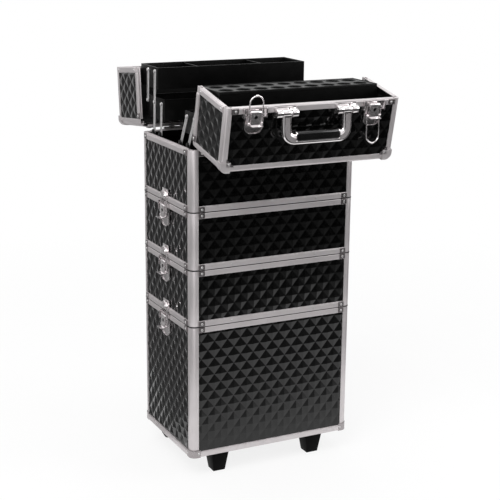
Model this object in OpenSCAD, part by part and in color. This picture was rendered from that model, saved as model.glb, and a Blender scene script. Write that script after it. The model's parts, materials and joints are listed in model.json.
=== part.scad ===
// Rolling makeup case: four stacked boxes on feet and wheels, a lid split in two halves
// that opens to the front and the rear, and trays that rise on cantilever arms.
// Millimetres. The floor is z = 0, the front is towards -Y, and +X is to the viewer's right.
// The pose is the photographed one: both lid halves open, the trays spread.

/* [Case] */
// outer width of every box
case_w = 350; // [310:5:420]
// outer depth of every box
case_d = 240; // [220:5:280]
// height of the deep bottom box
bottom_h = 268; // [220:4:320]
// height of each of the two middle boxes
middle_h = 112; // [100:2:140]
// height of the top box
top_h = 118; // [110:2:140]
// height of the closed lid above the top rim
lid_h = 122; // [122:2:140]
// how far the middle of the boxes lies behind the origin, so that the open case is centred on it
case_y = 8; // [0:1:16]

/* [Frame] */
// wall of the aluminium bars on the outer faces
skin_t = 1.5; // [1:0.25:2]
// thickness of the wall panels
panel_t = 5; // [4:0.5:6]
// thickness of the box floors
floor_t = 4; // [3:0.5:6]
// inner leg of the aluminium bars
leg_t = 1.2; // [1:0.1:1.5]
// face width of the corner posts
post_leg = 16; // [15:1:20]
// outer rounding of the corner posts
post_r = 12; // [8:1:13]
// face width of the lid's edge bars
edge_leg = 12; // [11:1:14]
// outer rounding of the lid's edge bars
edge_r = 5; // [3:0.5:6]
// face height of the rims
rim_h = 12; // [10:1:16]
// thickness of the rims across the edge of a panel
web_t = 3; // [2.8:0.1:4]
// gap between the top rim and the closed lid
lid_gap = 0.6; // [0.4:0.1:1]
// length of the corner brackets along a rim
bracket_w = 12; // [8:1:16]
// sheet of the corner brackets and caps
cap_t = 1; // [0.8:0.1:1.2]
// reach of the corner caps along each edge
cap_leg = 19; // [17:1:24]

/* [Lids] */
// opening of the front half, degrees
front_open = 102; // [90:1:110]
// opening of the rear half, degrees
rear_open = 96; // [90:1:110]
// hinge axis in front of the box face
hinge_out = 6.5; // [6:0.5:8]
// radius of the hinge knuckles
knuckle_r = 4.4; // [4:0.1:4.8]
// radius of the hinge pins
hinge_pin_r = 2.2; // [1.8:0.1:2.5]
// length of each hinge
hinge_len = 60; // [40:5:80]
// distance of the middle of each hinge from the side of the case
hinge_in = 80; // [65:5:105]

/* [Trays] */
// distance between the pivots of one arm
arm_len = 60; // [56:1:64]
// outward lean of the front arms, degrees
front_lean = 27; // [0:1:30]
// outward lean of the rear arms, degrees
rear_lean = -3; // [-10:1:20]
// height of the trays
tray_h = 42; // [36:1:44]
// wall of the trays
tray_t = 2; // [1.6:0.2:3]
// width of the arms
arm_w = 8; // [7:0.5:10]
// thickness of the arms
arm_t = 2; // [1.5:0.25:2.5]
// radius of the arm rivets
rivet_r = 2; // [1.5:0.25:2.25]
// diameter of the holes in the bottle holder
hole_d = 25; // [20:1:28]

/* [Latches] */
// width of a latch base across its shoulders
latch_w = 45; // [40:1:50]
// width of a latch base below its shoulders
latch_low = 36; // [34:1:40]
// width of a latch lever
lever_w = 19; // [18:0.5:20]
// wire radius of a bail
wire_r = 1.25; // [1:0.05:1.3]
// distance of the two lid latches from the sides of the case
lid_latch_in = 55; // [45:1:60]

/* [Carry handle] */
// distance of the handle's arms from the lid latches
handle_in = 59; // [54:1:64]
// distance from the handle's pivot to the middle of its lower bar
handle_drop = 47; // [42:1:52]
// face width of the handle
handle_w = 19; // [16:1:22]
// thickness of the handle
handle_t = 9; // [7:0.5:10]
// height of the grip
grip_h = 18.5; // [16:0.5:20]
// thickness of the grip
grip_t = 14; // [12:0.5:15]

/* [Feet, wheels and pull handle] */
// height of the feet
foot_h = 46; // [44:1:54]
// width of a foot at its top
foot_top = 38; // [34:1:44]
// width of a foot at the floor
foot_bottom = 25; // [20:1:30]
// distance of the feet from the sides of the case
foot_in = 69; // [60:1:80]
// radius of the wheels
wheel_r = 21; // [18:0.5:22]
// width of the wheels
wheel_w = 20; // [16:1:24]
// distance of the wheels from the sides of the case
wheel_in = 44; // [42:1:56]
// distance of the pull handle's tubes from the middle
rail_x = 70; // [60:1:90]

/* [Hidden] */
$fn = 48;

// overshoot of a cut past the piece it cuts
over = 1;
// radial play of a pin in its hole
fit = 0.05;
// play between pieces that slide past each other
slide = 0.5;
half_w = case_w / 2;
half_d = case_d / 2;

// heights of the seams, the top rim and the closed lid
low_z = foot_h + bottom_h;
mid_z = low_z + middle_h;
top_z = mid_z + middle_h;
rim_z = top_z + top_h;
lid_z = rim_z + lid_gap;
lid_top = rim_z + lid_h;
// half of the gap between the two lid halves
lid_split = 0.5;

// slot of the bars that holds a panel, and their whole depth
slot_in = skin_t + panel_t;
bar_in = slot_in + leg_t;
// where panels end: in the rounded posts, and at the inner legs of the bars
end_gap = 0.3;
panel_end = post_r + end_gap;
floor_end = bar_in + end_gap;
// tongue on a top rim and the groove of the rim above it
tongue_in = 2.8;
tongue_w = 2;
tongue_h = 1.6;
groove_h = 2;
// gap where two bars meet, and under the corner caps
bar_gap = 0.1;
cap_gap = 0.1;
cap_h = 15;
// height of the corner brackets on a rim
bracket_edge = 1;
bracket_h = rim_h - 2 * bracket_edge;
// width of the ledge that carries a box floor
ledge_in = post_leg - bar_gap;

// hinges
hinge_y = half_d + hinge_out;
hinge_z = rim_z + lid_gap / 2;
hinge_x = half_w - hinge_in;
leaf_t = 1.5;
leaf_gap = 0.5;
knuckles = 5;
knuckle_gap = 0.3;
knuckle_len = hinge_len / knuckles;

// arms and trays, across the case
bracket_gap = 0.8;
arm_out = half_w - bar_in - bracket_gap - arm_t - slide;
arm_in = arm_out - arm_t;
tray_half = arm_in - slide;
// arms and trays, in the side view
pivot_in = 12;
pivot_edge = 6;
tray_mid_gap = 2.5;
tray_short = 32;
tray_d = half_d - tray_short;
pivot_gap = (tray_d - pivot_in - pivot_edge) / 2;
pivot_rise = 3;
pivot_z = rim_z + pivot_rise;
inner_pivot = tray_mid_gap + pivot_in + pivot_gap;
outer_pivot = inner_pivot + pivot_gap;
case_pivots = [-outer_pivot, -inner_pivot, inner_pivot, outer_pivot];
lower_rise = 10;
upper_rise = 8;
rivet_head_r = 3.4;
rivet_head_t = 1;
ear_r = 6;
divider_x = 70;
holder_t = 3;
hole_gap = 9.5;
hole_edge = 5;
hole_pitch = hole_d + hole_gap;
hole_row_gap = 4;
hole_row = (tray_d - hole_row_gap) / 2;
hole_rows = [-hole_row / 2, hole_row / 2];
hole_n = floor(2 * (tray_half - hole_edge) / hole_pitch);

// latches: origin on the seam, X across, Y towards the seam, Z away from the face
lid_latch_x = half_w - lid_latch_in;
handle_x = lid_latch_x - handle_in;
sheet_t = 1.2;
lug_gap = 0.2;
lug_r = 2.8;
pin_end = 0.4;
base_near = 2;
base_len = 47;
base_round = 14;
base_rim = 3;
flange_h = 7;
flange_len = 17;
lever_axis = -9;
bail_axis = -29;
axis_h = 5;
lever_pin_r = 1.5;
lever_knuckle_r = 3;
lever_past = 3;
lever_end = bail_axis - lever_past;
lever_top = axis_h + lever_knuckle_r;
tab_w = 22;
tab_h = 9;
bail_pin_r = 1.2;
eye_r = 2.7;
eye_w = 2.5;
bail_bow = 8;
bail_gap = 0.45;
lug_in = lever_w / 2 + lug_gap;
lug_out = lug_in + sheet_t;
bail_half = lug_out + pin_end + bail_gap + wire_r;
keyhole_y = -17;
keyhole_r = 2;
hook_gap = 0.35;
hook_r = bail_half - wire_r - hook_gap;
hook_play = 0.55;
hook_z = axis_h + wire_r + hook_play;
hook_lip = 0.3;
hook_half = 8;
hook_top = hook_z + sheet_t;
strike_w = 28;
strike_near = 3;
strike_len = 22;

// carry handle on the front lid, in the closed lid's own place
handle_y = -12.5;
handle_rise = 8.5;
handle_z = lid_top + handle_rise;
handle_hang = front_open - 90;
bail_hang = 180 - handle_hang;
handle_bend = 16;
handle_pin_r = 3;
handle_knuckle_r = 6;
handle_knuckle_w = handle_w - handle_t / 4;
saddle_w = 11;
saddle_gap = 0.4;
saddle_r = 7.5;
saddle_in = handle_w / 2 + saddle_gap;
saddle_half = saddle_in + saddle_w;
saddle_d = 19;
saddle_t = 1.8;
grip_in = 19;
grip_half = handle_x - grip_in;
grip_up = 4.75;
grip_round = 5;
collar_w = 2.5;

// feet, wheels and pull handle
foot_x = half_w - foot_in;
foot_back = 32;
foot_y = foot_back - half_d;
foot_pad = 30;
wheel_x = half_w - wheel_in;
wheel_back = 22;
wheel_y = half_d - wheel_back;
wheel_z = wheel_r;
axle_r = 4;
axle_head_r = 6;
axle_head_t = 1.5;
cheek_t = 3;
cheek_w = 24;
cheek_gap = 1;
plate_back = 2;
tyre_t = 4;
tyre_round = 3;
hub_deep = 2;
hub_w = wheel_w - 2 * hub_deep;
rail = [22, 12];
rail_wall = 1.5;
rail_gap = 2;
rail_end = 4;
rail_y = half_d + rail_gap + rail[1] / 2;
rail_low = foot_h + rail_end;
rail_top = low_z - rail_end;
collar = [34, 17, 12];
tube_play = 0.3;
tube_stick = 6;
pull_past = 20;
pull_grip = [2 * (rail_x + pull_past), 20, 22];
pull_round = 9;
pull_back = 4;

// placing

// moves a piece from the middle of the boxes to its place
module on_case() {
  translate([0, case_y, 0]) children();
}

// draws a piece on the left and, mirrored, on the right
module both_sides() {
  children();
  mirror([1, 0, 0]) children();
}

// draws a piece at the front and, mirrored, at the rear
module both_ends() {
  children();
  mirror([0, 1, 0]) children();
}

// swings a piece of the closed front lid to its open place
module open_front() {
  on_case() translate([0, -hinge_y, hinge_z]) rotate([front_open, 0, 0])
    translate([0, hinge_y, -hinge_z]) children();
}

// swings a piece of the closed rear lid, drawn at the front, to its open place at the rear
module open_rear() {
  on_case() translate([0, hinge_y, hinge_z]) rotate([-rear_open, 0, 0])
    translate([0, -hinge_y, -hinge_z]) mirror([0, 1, 0]) children();
}

// latch places on the left and right faces at the height z of a seam
module left_face(z) {
  on_case() translate([-half_w, 0, z]) rotate([90, 0, -90]) children();
}

module right_face(z) {
  on_case() translate([half_w, 0, z]) rotate([90, 0, 90]) children();
}

// latch place on the open front lid
module front_lid_top(x) {
  open_front() translate([x, 0, lid_top]) children();
}

// bars and panels

// square corner rounded off at the origin, moved inwards by an inset and running to a reach
module corner_2d(reach, r, inset) {
  difference() {
    translate([inset, inset]) square(reach - inset);
    difference() {
      translate([inset - over, inset - over]) square(r - inset + over);
      translate([r, r]) circle(r - inset);
    }
  }
}

// angle bar along +Z with its outer corner on the axis and a slot for a panel in each leg
module angle_bar(len, leg, r) {
  web = r * (1 - sqrt(0.5)) + skin_t / 2;
  linear_extrude(len) {
    difference() {
      corner_2d(leg, r, 0);
      corner_2d(leg + over, r, skin_t);
    }
    translate([web, web]) square(bar_in - web);
    translate([slot_in, slot_in]) square([leg - slot_in, leg_t]);
    translate([slot_in, slot_in]) square([leg_t, leg - slot_in]);
  }
}

// rim on top of a box: a channel over the panels with a tongue
top_rim = [
  [0, -rim_h], [skin_t, -rim_h], [skin_t, -web_t], [slot_in, -web_t], [slot_in, -rim_h],
  [bar_in, -rim_h], [bar_in, 0], [tongue_in + tongue_w, 0],
  [tongue_in + tongue_w, tongue_h], [tongue_in, tongue_h], [tongue_in, 0], [0, 0]
];

// rim under a box or a lid: a channel under the panels with a groove, and a ledge if it is a box
ledge = [[ledge_in, 0], [ledge_in, skin_t], [bar_in, skin_t]];
function bottom_rim(foot) = concat(
  [[0, 0], [tongue_in - slide, 0], [tongue_in - slide, groove_h]],
  [[tongue_in + tongue_w + slide, groove_h], [tongue_in + tongue_w + slide, 0]],
  foot,
  [[bar_in, rim_h], [slot_in, rim_h], [slot_in, web_t], [skin_t, web_t], [skin_t, rim_h], [0, rim_h]]
);

// channel on a free edge of a lid
edge_channel = [
  [0, 0], [bar_in, 0], [bar_in, rim_h], [slot_in, rim_h],
  [slot_in, web_t], [skin_t, web_t], [skin_t, rim_h], [0, rim_h]
];

// bar of a profile along X at the front face
module front_bar(profile, len) {
  translate([0, -half_d, 0]) rotate([90, 0, 90])
    linear_extrude(len, center = true) polygon(profile);
}

// bar of a profile along Y at the left face
module left_bar(profile, len) {
  translate([-half_w, 0, 0]) rotate([90, 0, 0])
    linear_extrude(len, center = true) polygon(profile);
}

// four walls and a floor of a box that stands at z
module box_panels(z, h) {
  wall_z = z + web_t;
  wall_h = h - 2 * web_t;
  both_ends() translate([-half_w + panel_end, -half_d + skin_t, wall_z])
    cube([case_w - 2 * panel_end, panel_t, wall_h]);
  both_sides() translate([-half_w + skin_t, -half_d + panel_end, wall_z])
    cube([panel_t, case_d - 2 * panel_end, wall_h]);
  translate([-half_w + floor_end, -half_d + floor_end, z + skin_t])
    cube([case_w - 2 * floor_end, case_d - 2 * floor_end, floor_t]);
}

// posts and rims of a box that stands at z
module box_frame(z, h) {
  long = case_w - 2 * (post_leg + bar_gap);
  short = case_d - 2 * (post_leg + bar_gap);
  both_ends() both_sides() translate([-half_w, -half_d, z]) angle_bar(h, post_leg, post_r);
  both_ends() {
    translate([0, 0, z]) front_bar(bottom_rim(ledge), long);
    translate([0, 0, z + h]) front_bar(top_rim, long);
  }
  both_sides() {
    translate([0, 0, z]) left_bar(bottom_rim(ledge), short);
    translate([0, 0, z + h]) left_bar(top_rim, short);
  }
}

// brackets on the ends of a rim whose middle is at z, on all four faces
module rim_brackets(z) {
  low = z - bracket_h / 2;
  both_ends() both_sides() {
    translate([-half_w + post_leg, -half_d - cap_t, low]) cube([bracket_w, cap_t, bracket_h]);
    translate([-half_w - cap_t, -half_d + post_leg, low]) cube([cap_t, bracket_w, bracket_h]);
  }
}

// cap over the lower end of a corner post that stands on the origin
module corner_cap() {
  out = cap_gap + cap_t;
  difference() {
    translate([0, 0, -out]) linear_extrude(cap_h + out) corner_2d(cap_leg, post_r, -out);
    translate([0, 0, -cap_gap]) linear_extrude(cap_h + over + cap_gap)
      corner_2d(cap_leg + over, post_r, -cap_gap);
  }
}

// front half of the closed lid: panels
module half_lid_panels() {
  wall_h = lid_top - floor_end - lid_z - web_t;
  side_d = half_d - panel_end - lid_split - web_t;
  top_d = half_d - floor_end - lid_split - web_t;
  translate([-half_w + panel_end, -half_d + skin_t, lid_z + web_t])
    cube([case_w - 2 * panel_end, panel_t, wall_h]);
  both_sides() translate([-half_w + skin_t, -half_d + panel_end, lid_z + web_t])
    cube([panel_t, side_d, wall_h]);
  translate([-half_w + floor_end, -half_d + floor_end, lid_top - slot_in])
    cube([case_w - 2 * floor_end, top_d, panel_t]);
}

// front half of the closed lid: posts, rims, edge bars and corner caps
module half_lid_frame() {
  across = case_w - 2 * (post_leg + bar_gap);
  side = half_d - post_leg - bar_gap - lid_split;
  side_y = -lid_split - side / 2;
  edge_z = lid_z + rim_h + bar_gap;
  both_sides() {
    translate([-half_w, -half_d, lid_z]) angle_bar(lid_top - lid_z, post_leg, post_r);
    translate([0, side_y, lid_z]) left_bar(bottom_rim([[bar_in, 0]]), side);
    translate([-half_w, -lid_split - side, lid_top]) rotate([-90, 0, 0])
      angle_bar(side, edge_leg, edge_r);
    translate([-half_w, -lid_split, edge_z]) mirror([0, 1, 0])
      linear_extrude(lid_top - edge_leg - bar_gap - edge_z) polygon(edge_channel);
    translate([-half_w, -half_d, lid_top]) mirror([0, 0, 1]) corner_cap();
  }
  translate([0, 0, lid_z]) front_bar(bottom_rim([[bar_in, 0]]), across);
  translate([-across / 2, -half_d, lid_top]) rotate([0, 90, 0]) angle_bar(across, edge_leg, edge_r);
  translate([0, -lid_split, lid_top]) rotate([90, 0, 90])
    linear_extrude(case_w - 2 * (edge_leg + bar_gap), center = true)
      polygon([for (p = edge_channel) [-p[1], -p[0]]]);
}

// hinges

// knuckle with its web to the leaf, along +X from the axis, for the k-th place of a hinge
module knuckle(k) {
  len = knuckle_len - knuckle_gap;
  translate([k * knuckle_len - hinge_len / 2 + knuckle_gap / 2, 0, 0]) difference() {
    union() {
      rotate([0, 90, 0]) cylinder(r = knuckle_r, h = len);
      translate([0, 0, leaf_gap]) cube([len, hinge_out, knuckle_r - leaf_gap]);
    }
    translate([-over, 0, 0]) rotate([0, 90, 0]) cylinder(r = hinge_pin_r + fit, h = len + 2 * over);
  }
}

// leaf with the knuckles of every other place, its plate rising from the axis
module leaf(first) {
  union() {
    translate([-hinge_len / 2, hinge_out - leaf_t, leaf_gap])
      cube([hinge_len, leaf_t, rim_h - leaf_gap]);
    for (k = [first:2:knuckles - 1]) knuckle(k);
  }
}

// moves a hinge at the axis to its two places on the front
module hinge_places() {
  both_sides() translate([-hinge_x, -hinge_y, hinge_z]) children();
}

// latches

// outline of a latch base, moved inwards by an inset
module base_2d(inset) {
  near = -base_near - inset;
  far = -base_near - base_len + inset;
  shoulder = -base_near - flange_len + inset;
  top_half = latch_w / 2 - inset;
  low_half = latch_low / 2 - inset;
  r = base_round - inset;
  translate([-top_half, shoulder]) square([2 * top_half, near - shoulder]);
  translate([-low_half, far + r]) square([2 * low_half, near - far - r]);
  translate([r - low_half, far]) square([2 * (low_half - r), r + over]);
  for (x = [r - low_half, low_half - r]) translate([x, far + r]) circle(r);
}

// stamped base of a latch: a dish with a low rim, raised sides and two lugs for the lever's pin
module latch_base() {
  difference() {
    union() {
      linear_extrude(sheet_t) base_2d(0);
      linear_extrude(base_rim) difference() {
        base_2d(0);
        base_2d(sheet_t);
      }
      both_sides() translate([-latch_w / 2, -base_near - flange_len, 0])
        cube([sheet_t, flange_len, flange_h]);
      for (x = [-lug_out, lug_in]) {
        translate([x, lever_axis - lug_r, 0]) cube([sheet_t, 2 * lug_r, axis_h]);
        translate([x, lever_axis, axis_h]) rotate([0, 90, 0]) cylinder(r = lug_r, h = sheet_t);
      }
    }
    translate([-lug_out - over, lever_axis, axis_h]) rotate([0, 90, 0])
      cylinder(r = lever_pin_r + fit, h = 2 * (lug_out + over));
  }
}

// pin of the lever through both lugs of the base
module lever_pin() {
  half = lug_out + pin_end;
  translate([-half, lever_axis, axis_h]) rotate([0, 90, 0])
    cylinder(r = lever_pin_r, h = 2 * half);
}

// lever with its knuckle, side cheeks, keyhole and bent finger tab
module latch_lever() {
  half = lever_w / 2;
  difference() {
    union() {
      translate([-half, lever_axis, axis_h]) rotate([0, 90, 0])
        cylinder(r = lever_knuckle_r, h = lever_w);
      translate([-half, lever_end, lever_top - sheet_t])
        cube([lever_w, lever_axis - lever_end, sheet_t]);
      both_sides() translate([-half, lever_end, axis_h - eye_r])
        cube([sheet_t, lever_axis - lever_end, lever_top - axis_h + eye_r]);
      translate([-tab_w / 2, lever_end, lever_top - sheet_t])
        cube([tab_w, sheet_t, tab_h + sheet_t]);
    }
    translate([-half - over, lever_axis, axis_h]) rotate([0, 90, 0])
      cylinder(r = lever_pin_r + fit, h = lever_w + 2 * over);
    translate([-half - over, bail_axis, axis_h]) rotate([0, 90, 0])
      cylinder(r = bail_pin_r + fit, h = lever_w + 2 * over);
    translate([0, keyhole_y, lever_top - 2 * sheet_t]) cylinder(r = keyhole_r, h = 3 * sheet_t);
    translate([-keyhole_r / 2, keyhole_y - 2 * keyhole_r, lever_top - 2 * sheet_t])
      cube([keyhole_r, 2 * keyhole_r, 3 * sheet_t]);
  }
}

// pin of the bail through the cheeks of the lever
module bail_pin() {
  half = bail_half + eye_w / 2 + pin_end;
  translate([-half, bail_axis, axis_h]) rotate([0, 90, 0]) cylinder(r = bail_pin_r, h = 2 * half);
}

// wire bail: two eyes on the pin, two legs and a half-round bow, at an angle from the latched place
module latch_bail(turn) {
  eye_mid = (bail_pin_r + fit + eye_r) / 2;
  translate([0, bail_axis, axis_h]) rotate([turn, 0, 0]) {
    for (x = [-bail_half, bail_half]) difference() {
      union() {
        translate([x - eye_w / 2, 0, 0]) rotate([0, 90, 0]) cylinder(r = eye_r, h = eye_w);
        translate([x, eye_mid, 0]) rotate([-90, 0, 0])
          cylinder(r = wire_r, h = bail_bow - bail_axis - eye_mid);
      }
      translate([x - eye_w, 0, 0]) rotate([0, 90, 0])
        cylinder(r = bail_pin_r + fit, h = 2 * eye_w);
    }
    for (a = [0, 90]) translate([0, bail_bow - bail_axis, 0]) rotate(a)
      rotate_extrude(angle = 90) translate([bail_half, 0]) circle(wire_r);
  }
}

// strike on the far side of the seam: a plate with a half-round hook and its lip
module latch_strike() {
  reach = hook_r + hook_lip;
  union() {
    translate([-strike_w / 2, strike_near, 0]) cube([strike_w, strike_len, sheet_t]);
    intersection() {
      translate([0, bail_bow, 0]) cylinder(r = hook_r, h = hook_top);
      translate([-reach, bail_bow, 0]) cube([2 * reach, reach, hook_top]);
    }
    intersection() {
      translate([0, bail_bow, hook_z]) cylinder(r = reach, h = sheet_t);
      translate([-hook_half, bail_bow, hook_z]) cube([2 * hook_half, reach + over, sheet_t]);
    }
  }
}

// trays and arms, drawn at the rear with +Y outwards

// mirrors a piece drawn at the rear to the front
module to_front() {
  mirror([0, 1, 0]) children();
}

// place after n arm lengths from a case pivot at y, with the arms at a lean
function tip(y, lean, n) = [0, y + n * arm_len * sin(lean), pivot_z + n * arm_len * cos(lean)];

// flat arm along the lean from a pivot, with a hole at each of its n + 1 pivots
module arm(at, lean, n) {
  both_sides() translate(at) rotate([-lean, 0, 0]) difference() {
    union() {
      translate([arm_in, -arm_w / 2, 0]) cube([arm_t, arm_w, n * arm_len]);
      for (k = [0, n]) translate([arm_in, 0, k * arm_len]) rotate([0, 90, 0])
        cylinder(r = arm_w / 2, h = arm_t);
    }
    for (k = [0:n]) translate([arm_in - over, 0, k * arm_len]) rotate([0, 90, 0])
      cylinder(r = rivet_r + fit, h = arm_t + 2 * over);
  }
}

// rivet along X through a tray wall and an arm, with a head before the one and after the other
module rivet(from, to) {
  both_sides() rotate([0, 90, 0]) {
    translate([0, 0, from - rivet_head_t]) cylinder(r = rivet_head_r, h = rivet_head_t);
    translate([0, 0, from - rivet_head_t / 2]) cylinder(r = rivet_r, h = to - from + rivet_head_t);
    translate([0, 0, to]) cylinder(r = rivet_head_r, h = rivet_head_t);
  }
}

// open tray with its inner edge at y and its top at z, and rivet holes at the given distances
module tray(y, z, h, rise, holes) {
  translate([0, y, z - h]) difference() {
    translate([-tray_half, 0, 0]) cube([2 * tray_half, tray_d, h]);
    translate([-tray_half + tray_t, tray_t, tray_t])
      cube([2 * (tray_half - tray_t), tray_d - 2 * tray_t, h]);
    for (d = holes) translate([-tray_half - over, d, h - rise]) rotate([0, 90, 0])
      cylinder(r = rivet_r + fit, h = 2 * (tray_half + over));
  }
}

// rivets of a tray in the same places
module tray_rivets(y, z, rise, holes) {
  for (d = holes) translate([0, y + d, z - rise]) rivet(tray_half - tray_t, arm_out + fit);
}

lower_holes = [pivot_in, pivot_in + pivot_gap, pivot_in + 2 * pivot_gap];
upper_holes = [pivot_in, pivot_in + pivot_gap];

module lower_tray(lean) {
  at = tip(inner_pivot, lean, 1);
  tray(at[1] - pivot_in, at[2] + lower_rise, tray_h, lower_rise, lower_holes);
  tray_rivets(at[1] - pivot_in, at[2] + lower_rise, lower_rise, lower_holes);
}

// upper tray whose walls end a drop below the full height
module upper_tray(lean, drop) {
  at = tip(outer_pivot, lean, 2);
  y = at[1] - pivot_in;
  tray(y, at[2] + upper_rise - drop, tray_h - drop, upper_rise - drop, upper_holes);
  tray_rivets(y, at[2] + upper_rise - drop, upper_rise - drop, upper_holes);
}

// dividers across an upper tray
module dividers(lean) {
  at = tip(outer_pivot, lean, 2);
  y = at[1] - pivot_in + tray_t;
  z = at[2] + upper_rise - tray_h + tray_t;
  for (s = [-1, 1]) translate([s * divider_x - tray_t / 2, y, z])
    cube([tray_t, tray_d - 2 * tray_t, tray_h - 2 * tray_t]);
}

// boxes

module bottom_case_panels() {
  color("DimGray") on_case() box_panels(foot_h, bottom_h);
}

module lower_middle_panels() {
  color("DimGray") on_case() box_panels(low_z, middle_h);
}

module upper_middle_panels() {
  color("DimGray") on_case() box_panels(mid_z, middle_h);
}

module top_case_panels() {
  color("DimGray") on_case() box_panels(top_z, top_h);
}

module bottom_case_frame() {
  color("Silver") on_case() box_frame(foot_h, bottom_h);
}

module lower_middle_frame() {
  color("Silver") on_case() box_frame(low_z, middle_h);
}

module upper_middle_frame() {
  color("Silver") on_case() box_frame(mid_z, middle_h);
}

module top_case_frame() {
  color("Silver") on_case() box_frame(top_z, top_h);
}

module corner_brackets() {
  color("LightGray") on_case() {
    for (z = [low_z, mid_z, top_z]) {
      rim_brackets(z - rim_h / 2);
      rim_brackets(z + rim_h / 2);
    }
    rim_brackets(rim_z - rim_h / 2);
    both_ends() both_sides() translate([-half_w, -half_d, foot_h]) corner_cap();
  }
}

// lids

module front_lid_panels() {
  color("DimGray") open_front() half_lid_panels();
}

module front_lid_frame() {
  color("Silver") open_front() half_lid_frame();
}

module rear_lid_panels() {
  color("DimGray") open_rear() half_lid_panels();
}

module rear_lid_frame() {
  color("Silver") open_rear() half_lid_frame();
}

module lid_hinge_case_leaves() {
  color("LightGray") on_case() both_ends() hinge_places() {
    mirror([0, 0, 1]) leaf(0);
    translate([-hinge_len / 2, 0, 0]) rotate([0, 90, 0]) cylinder(r = hinge_pin_r, h = hinge_len);
  }
}

module front_lid_hinge_leaves() {
  color("LightGray") open_front() hinge_places() leaf(1);
}

module rear_lid_hinge_leaves() {
  color("LightGray") open_rear() hinge_places() leaf(1);
}

// latches on the lids

module lid_latch_bases() {
  color("LightGray") for (s = [-1, 1]) front_lid_top(s * lid_latch_x) {
    latch_base();
    lever_pin();
  }
}

module lid_latch_strikes() {
  color("LightGray") open_rear() both_sides() translate([-lid_latch_x, 0, lid_top])
    mirror([0, 1, 0]) latch_strike();
}

module left_lid_latch_lever() {
  color("LightGray") front_lid_top(-lid_latch_x) latch_lever();
}

module left_lid_bail_pin() {
  color("LightGray") front_lid_top(-lid_latch_x) bail_pin();
}

module left_lid_bail() {
  color("LightGray") front_lid_top(-lid_latch_x) latch_bail(0);
}

module right_lid_latch_lever() {
  color("LightGray") front_lid_top(lid_latch_x) latch_lever();
}

module right_lid_bail_pin() {
  color("LightGray") front_lid_top(lid_latch_x) bail_pin();
}

module right_lid_bail() {
  color("LightGray") front_lid_top(lid_latch_x) latch_bail(bail_hang);
}

// latches on the sides

module side_latch_bases() {
  color("LightGray") for (z = [low_z, mid_z, top_z]) {
    left_face(z) {
      latch_base();
      lever_pin();
    }
    right_face(z) {
      latch_base();
      lever_pin();
    }
  }
}

module side_latch_strikes() {
  color("LightGray") for (z = [low_z, mid_z, top_z]) {
    left_face(z) latch_strike();
    right_face(z) latch_strike();
  }
}

// lever of a side latch with the pin of its bail
module side_lever() {
  color("LightGray") {
    latch_lever();
    bail_pin();
  }
}

module left_top_lever() {
  left_face(top_z) side_lever();
}

module left_middle_lever() {
  left_face(mid_z) side_lever();
}

module left_bottom_lever() {
  left_face(low_z) side_lever();
}

module right_top_lever() {
  right_face(top_z) side_lever();
}

module right_middle_lever() {
  right_face(mid_z) side_lever();
}

module right_bottom_lever() {
  right_face(low_z) side_lever();
}

module left_top_bail() {
  color("LightGray") left_face(top_z) latch_bail(0);
}

module left_middle_bail() {
  color("LightGray") left_face(mid_z) latch_bail(0);
}

module left_bottom_bail() {
  color("LightGray") left_face(low_z) latch_bail(0);
}

module right_top_bail() {
  color("LightGray") right_face(top_z) latch_bail(0);
}

module right_middle_bail() {
  color("LightGray") right_face(mid_z) latch_bail(0);
}

module right_bottom_bail() {
  color("LightGray") right_face(low_z) latch_bail(0);
}

// carry handle

module handle_brackets() {
  color("LightGray") open_front() both_sides() translate([-handle_x, handle_y, lid_top])
    difference() {
      union() {
        translate([-saddle_half, -saddle_d / 2, 0]) cube([2 * saddle_half, saddle_d, saddle_t]);
        for (x = [-saddle_half, saddle_in]) {
          translate([x, -saddle_r, 0]) cube([saddle_w, 2 * saddle_r, handle_rise]);
          translate([x, 0, handle_rise]) rotate([0, 90, 0]) cylinder(r = saddle_r, h = saddle_w);
        }
      }
      translate([-saddle_half - over, 0, handle_rise]) rotate([0, 90, 0])
        cylinder(r = handle_pin_r + fit, h = 2 * (saddle_half + over));
    }
}

// puts a piece of the handle, drawn with its pivot on the X axis and its arms along -Y, in place
module hang_handle() {
  open_front() translate([0, handle_y, handle_z]) rotate([-handle_hang, 0, 0]) children();
}

// section of the handle with round edges, its face along X, grown by a play
module handle_2d(grow) {
  flat = handle_w - handle_t;
  square([flat, handle_t + 2 * grow], center = true);
  for (s = [-1, 1]) translate([s * flat / 2, 0]) circle(handle_t / 2 + grow);
}

// section of the grip in the place of the handle's section
module grip_2d() {
  translate([grip_up, 0]) rounded_2d([grip_h, grip_t], grip_round);
}

// piece of a section along X on the handle's lower bar, from x and so long
module along_bar(x, len) {
  translate([x, -handle_drop, 0]) rotate([90, 0, 90]) linear_extrude(len) children();
}

module carry_handle() {
  straight = handle_drop - handle_bend;
  bar_half = handle_x - handle_bend;
  color("LightGray") hang_handle() union() {
    both_sides() {
      translate([-handle_x - saddle_half, 0, 0]) rotate([0, 90, 0])
        cylinder(r = handle_pin_r, h = 2 * saddle_half);
      translate([-handle_x - handle_knuckle_w / 2, 0, 0]) rotate([0, 90, 0])
        cylinder(r = handle_knuckle_r, h = handle_knuckle_w);
      translate([-handle_x, 0, 0]) rotate([90, 0, 0]) linear_extrude(straight) handle_2d(0);
      translate([-bar_half, -straight, 0]) rotate([0, 0, 180]) rotate_extrude(angle = 90)
        translate([handle_bend, 0]) handle_2d(0);
      along_bar(-grip_half - collar_w, collar_w - fit) grip_2d();
    }
    along_bar(-bar_half, 2 * bar_half) handle_2d(0);
  }
}

module carry_grip() {
  color("DimGray") hang_handle() along_bar(-grip_half, 2 * grip_half) difference() {
    grip_2d();
    handle_2d(fit);
  }
}

// trays

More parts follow.
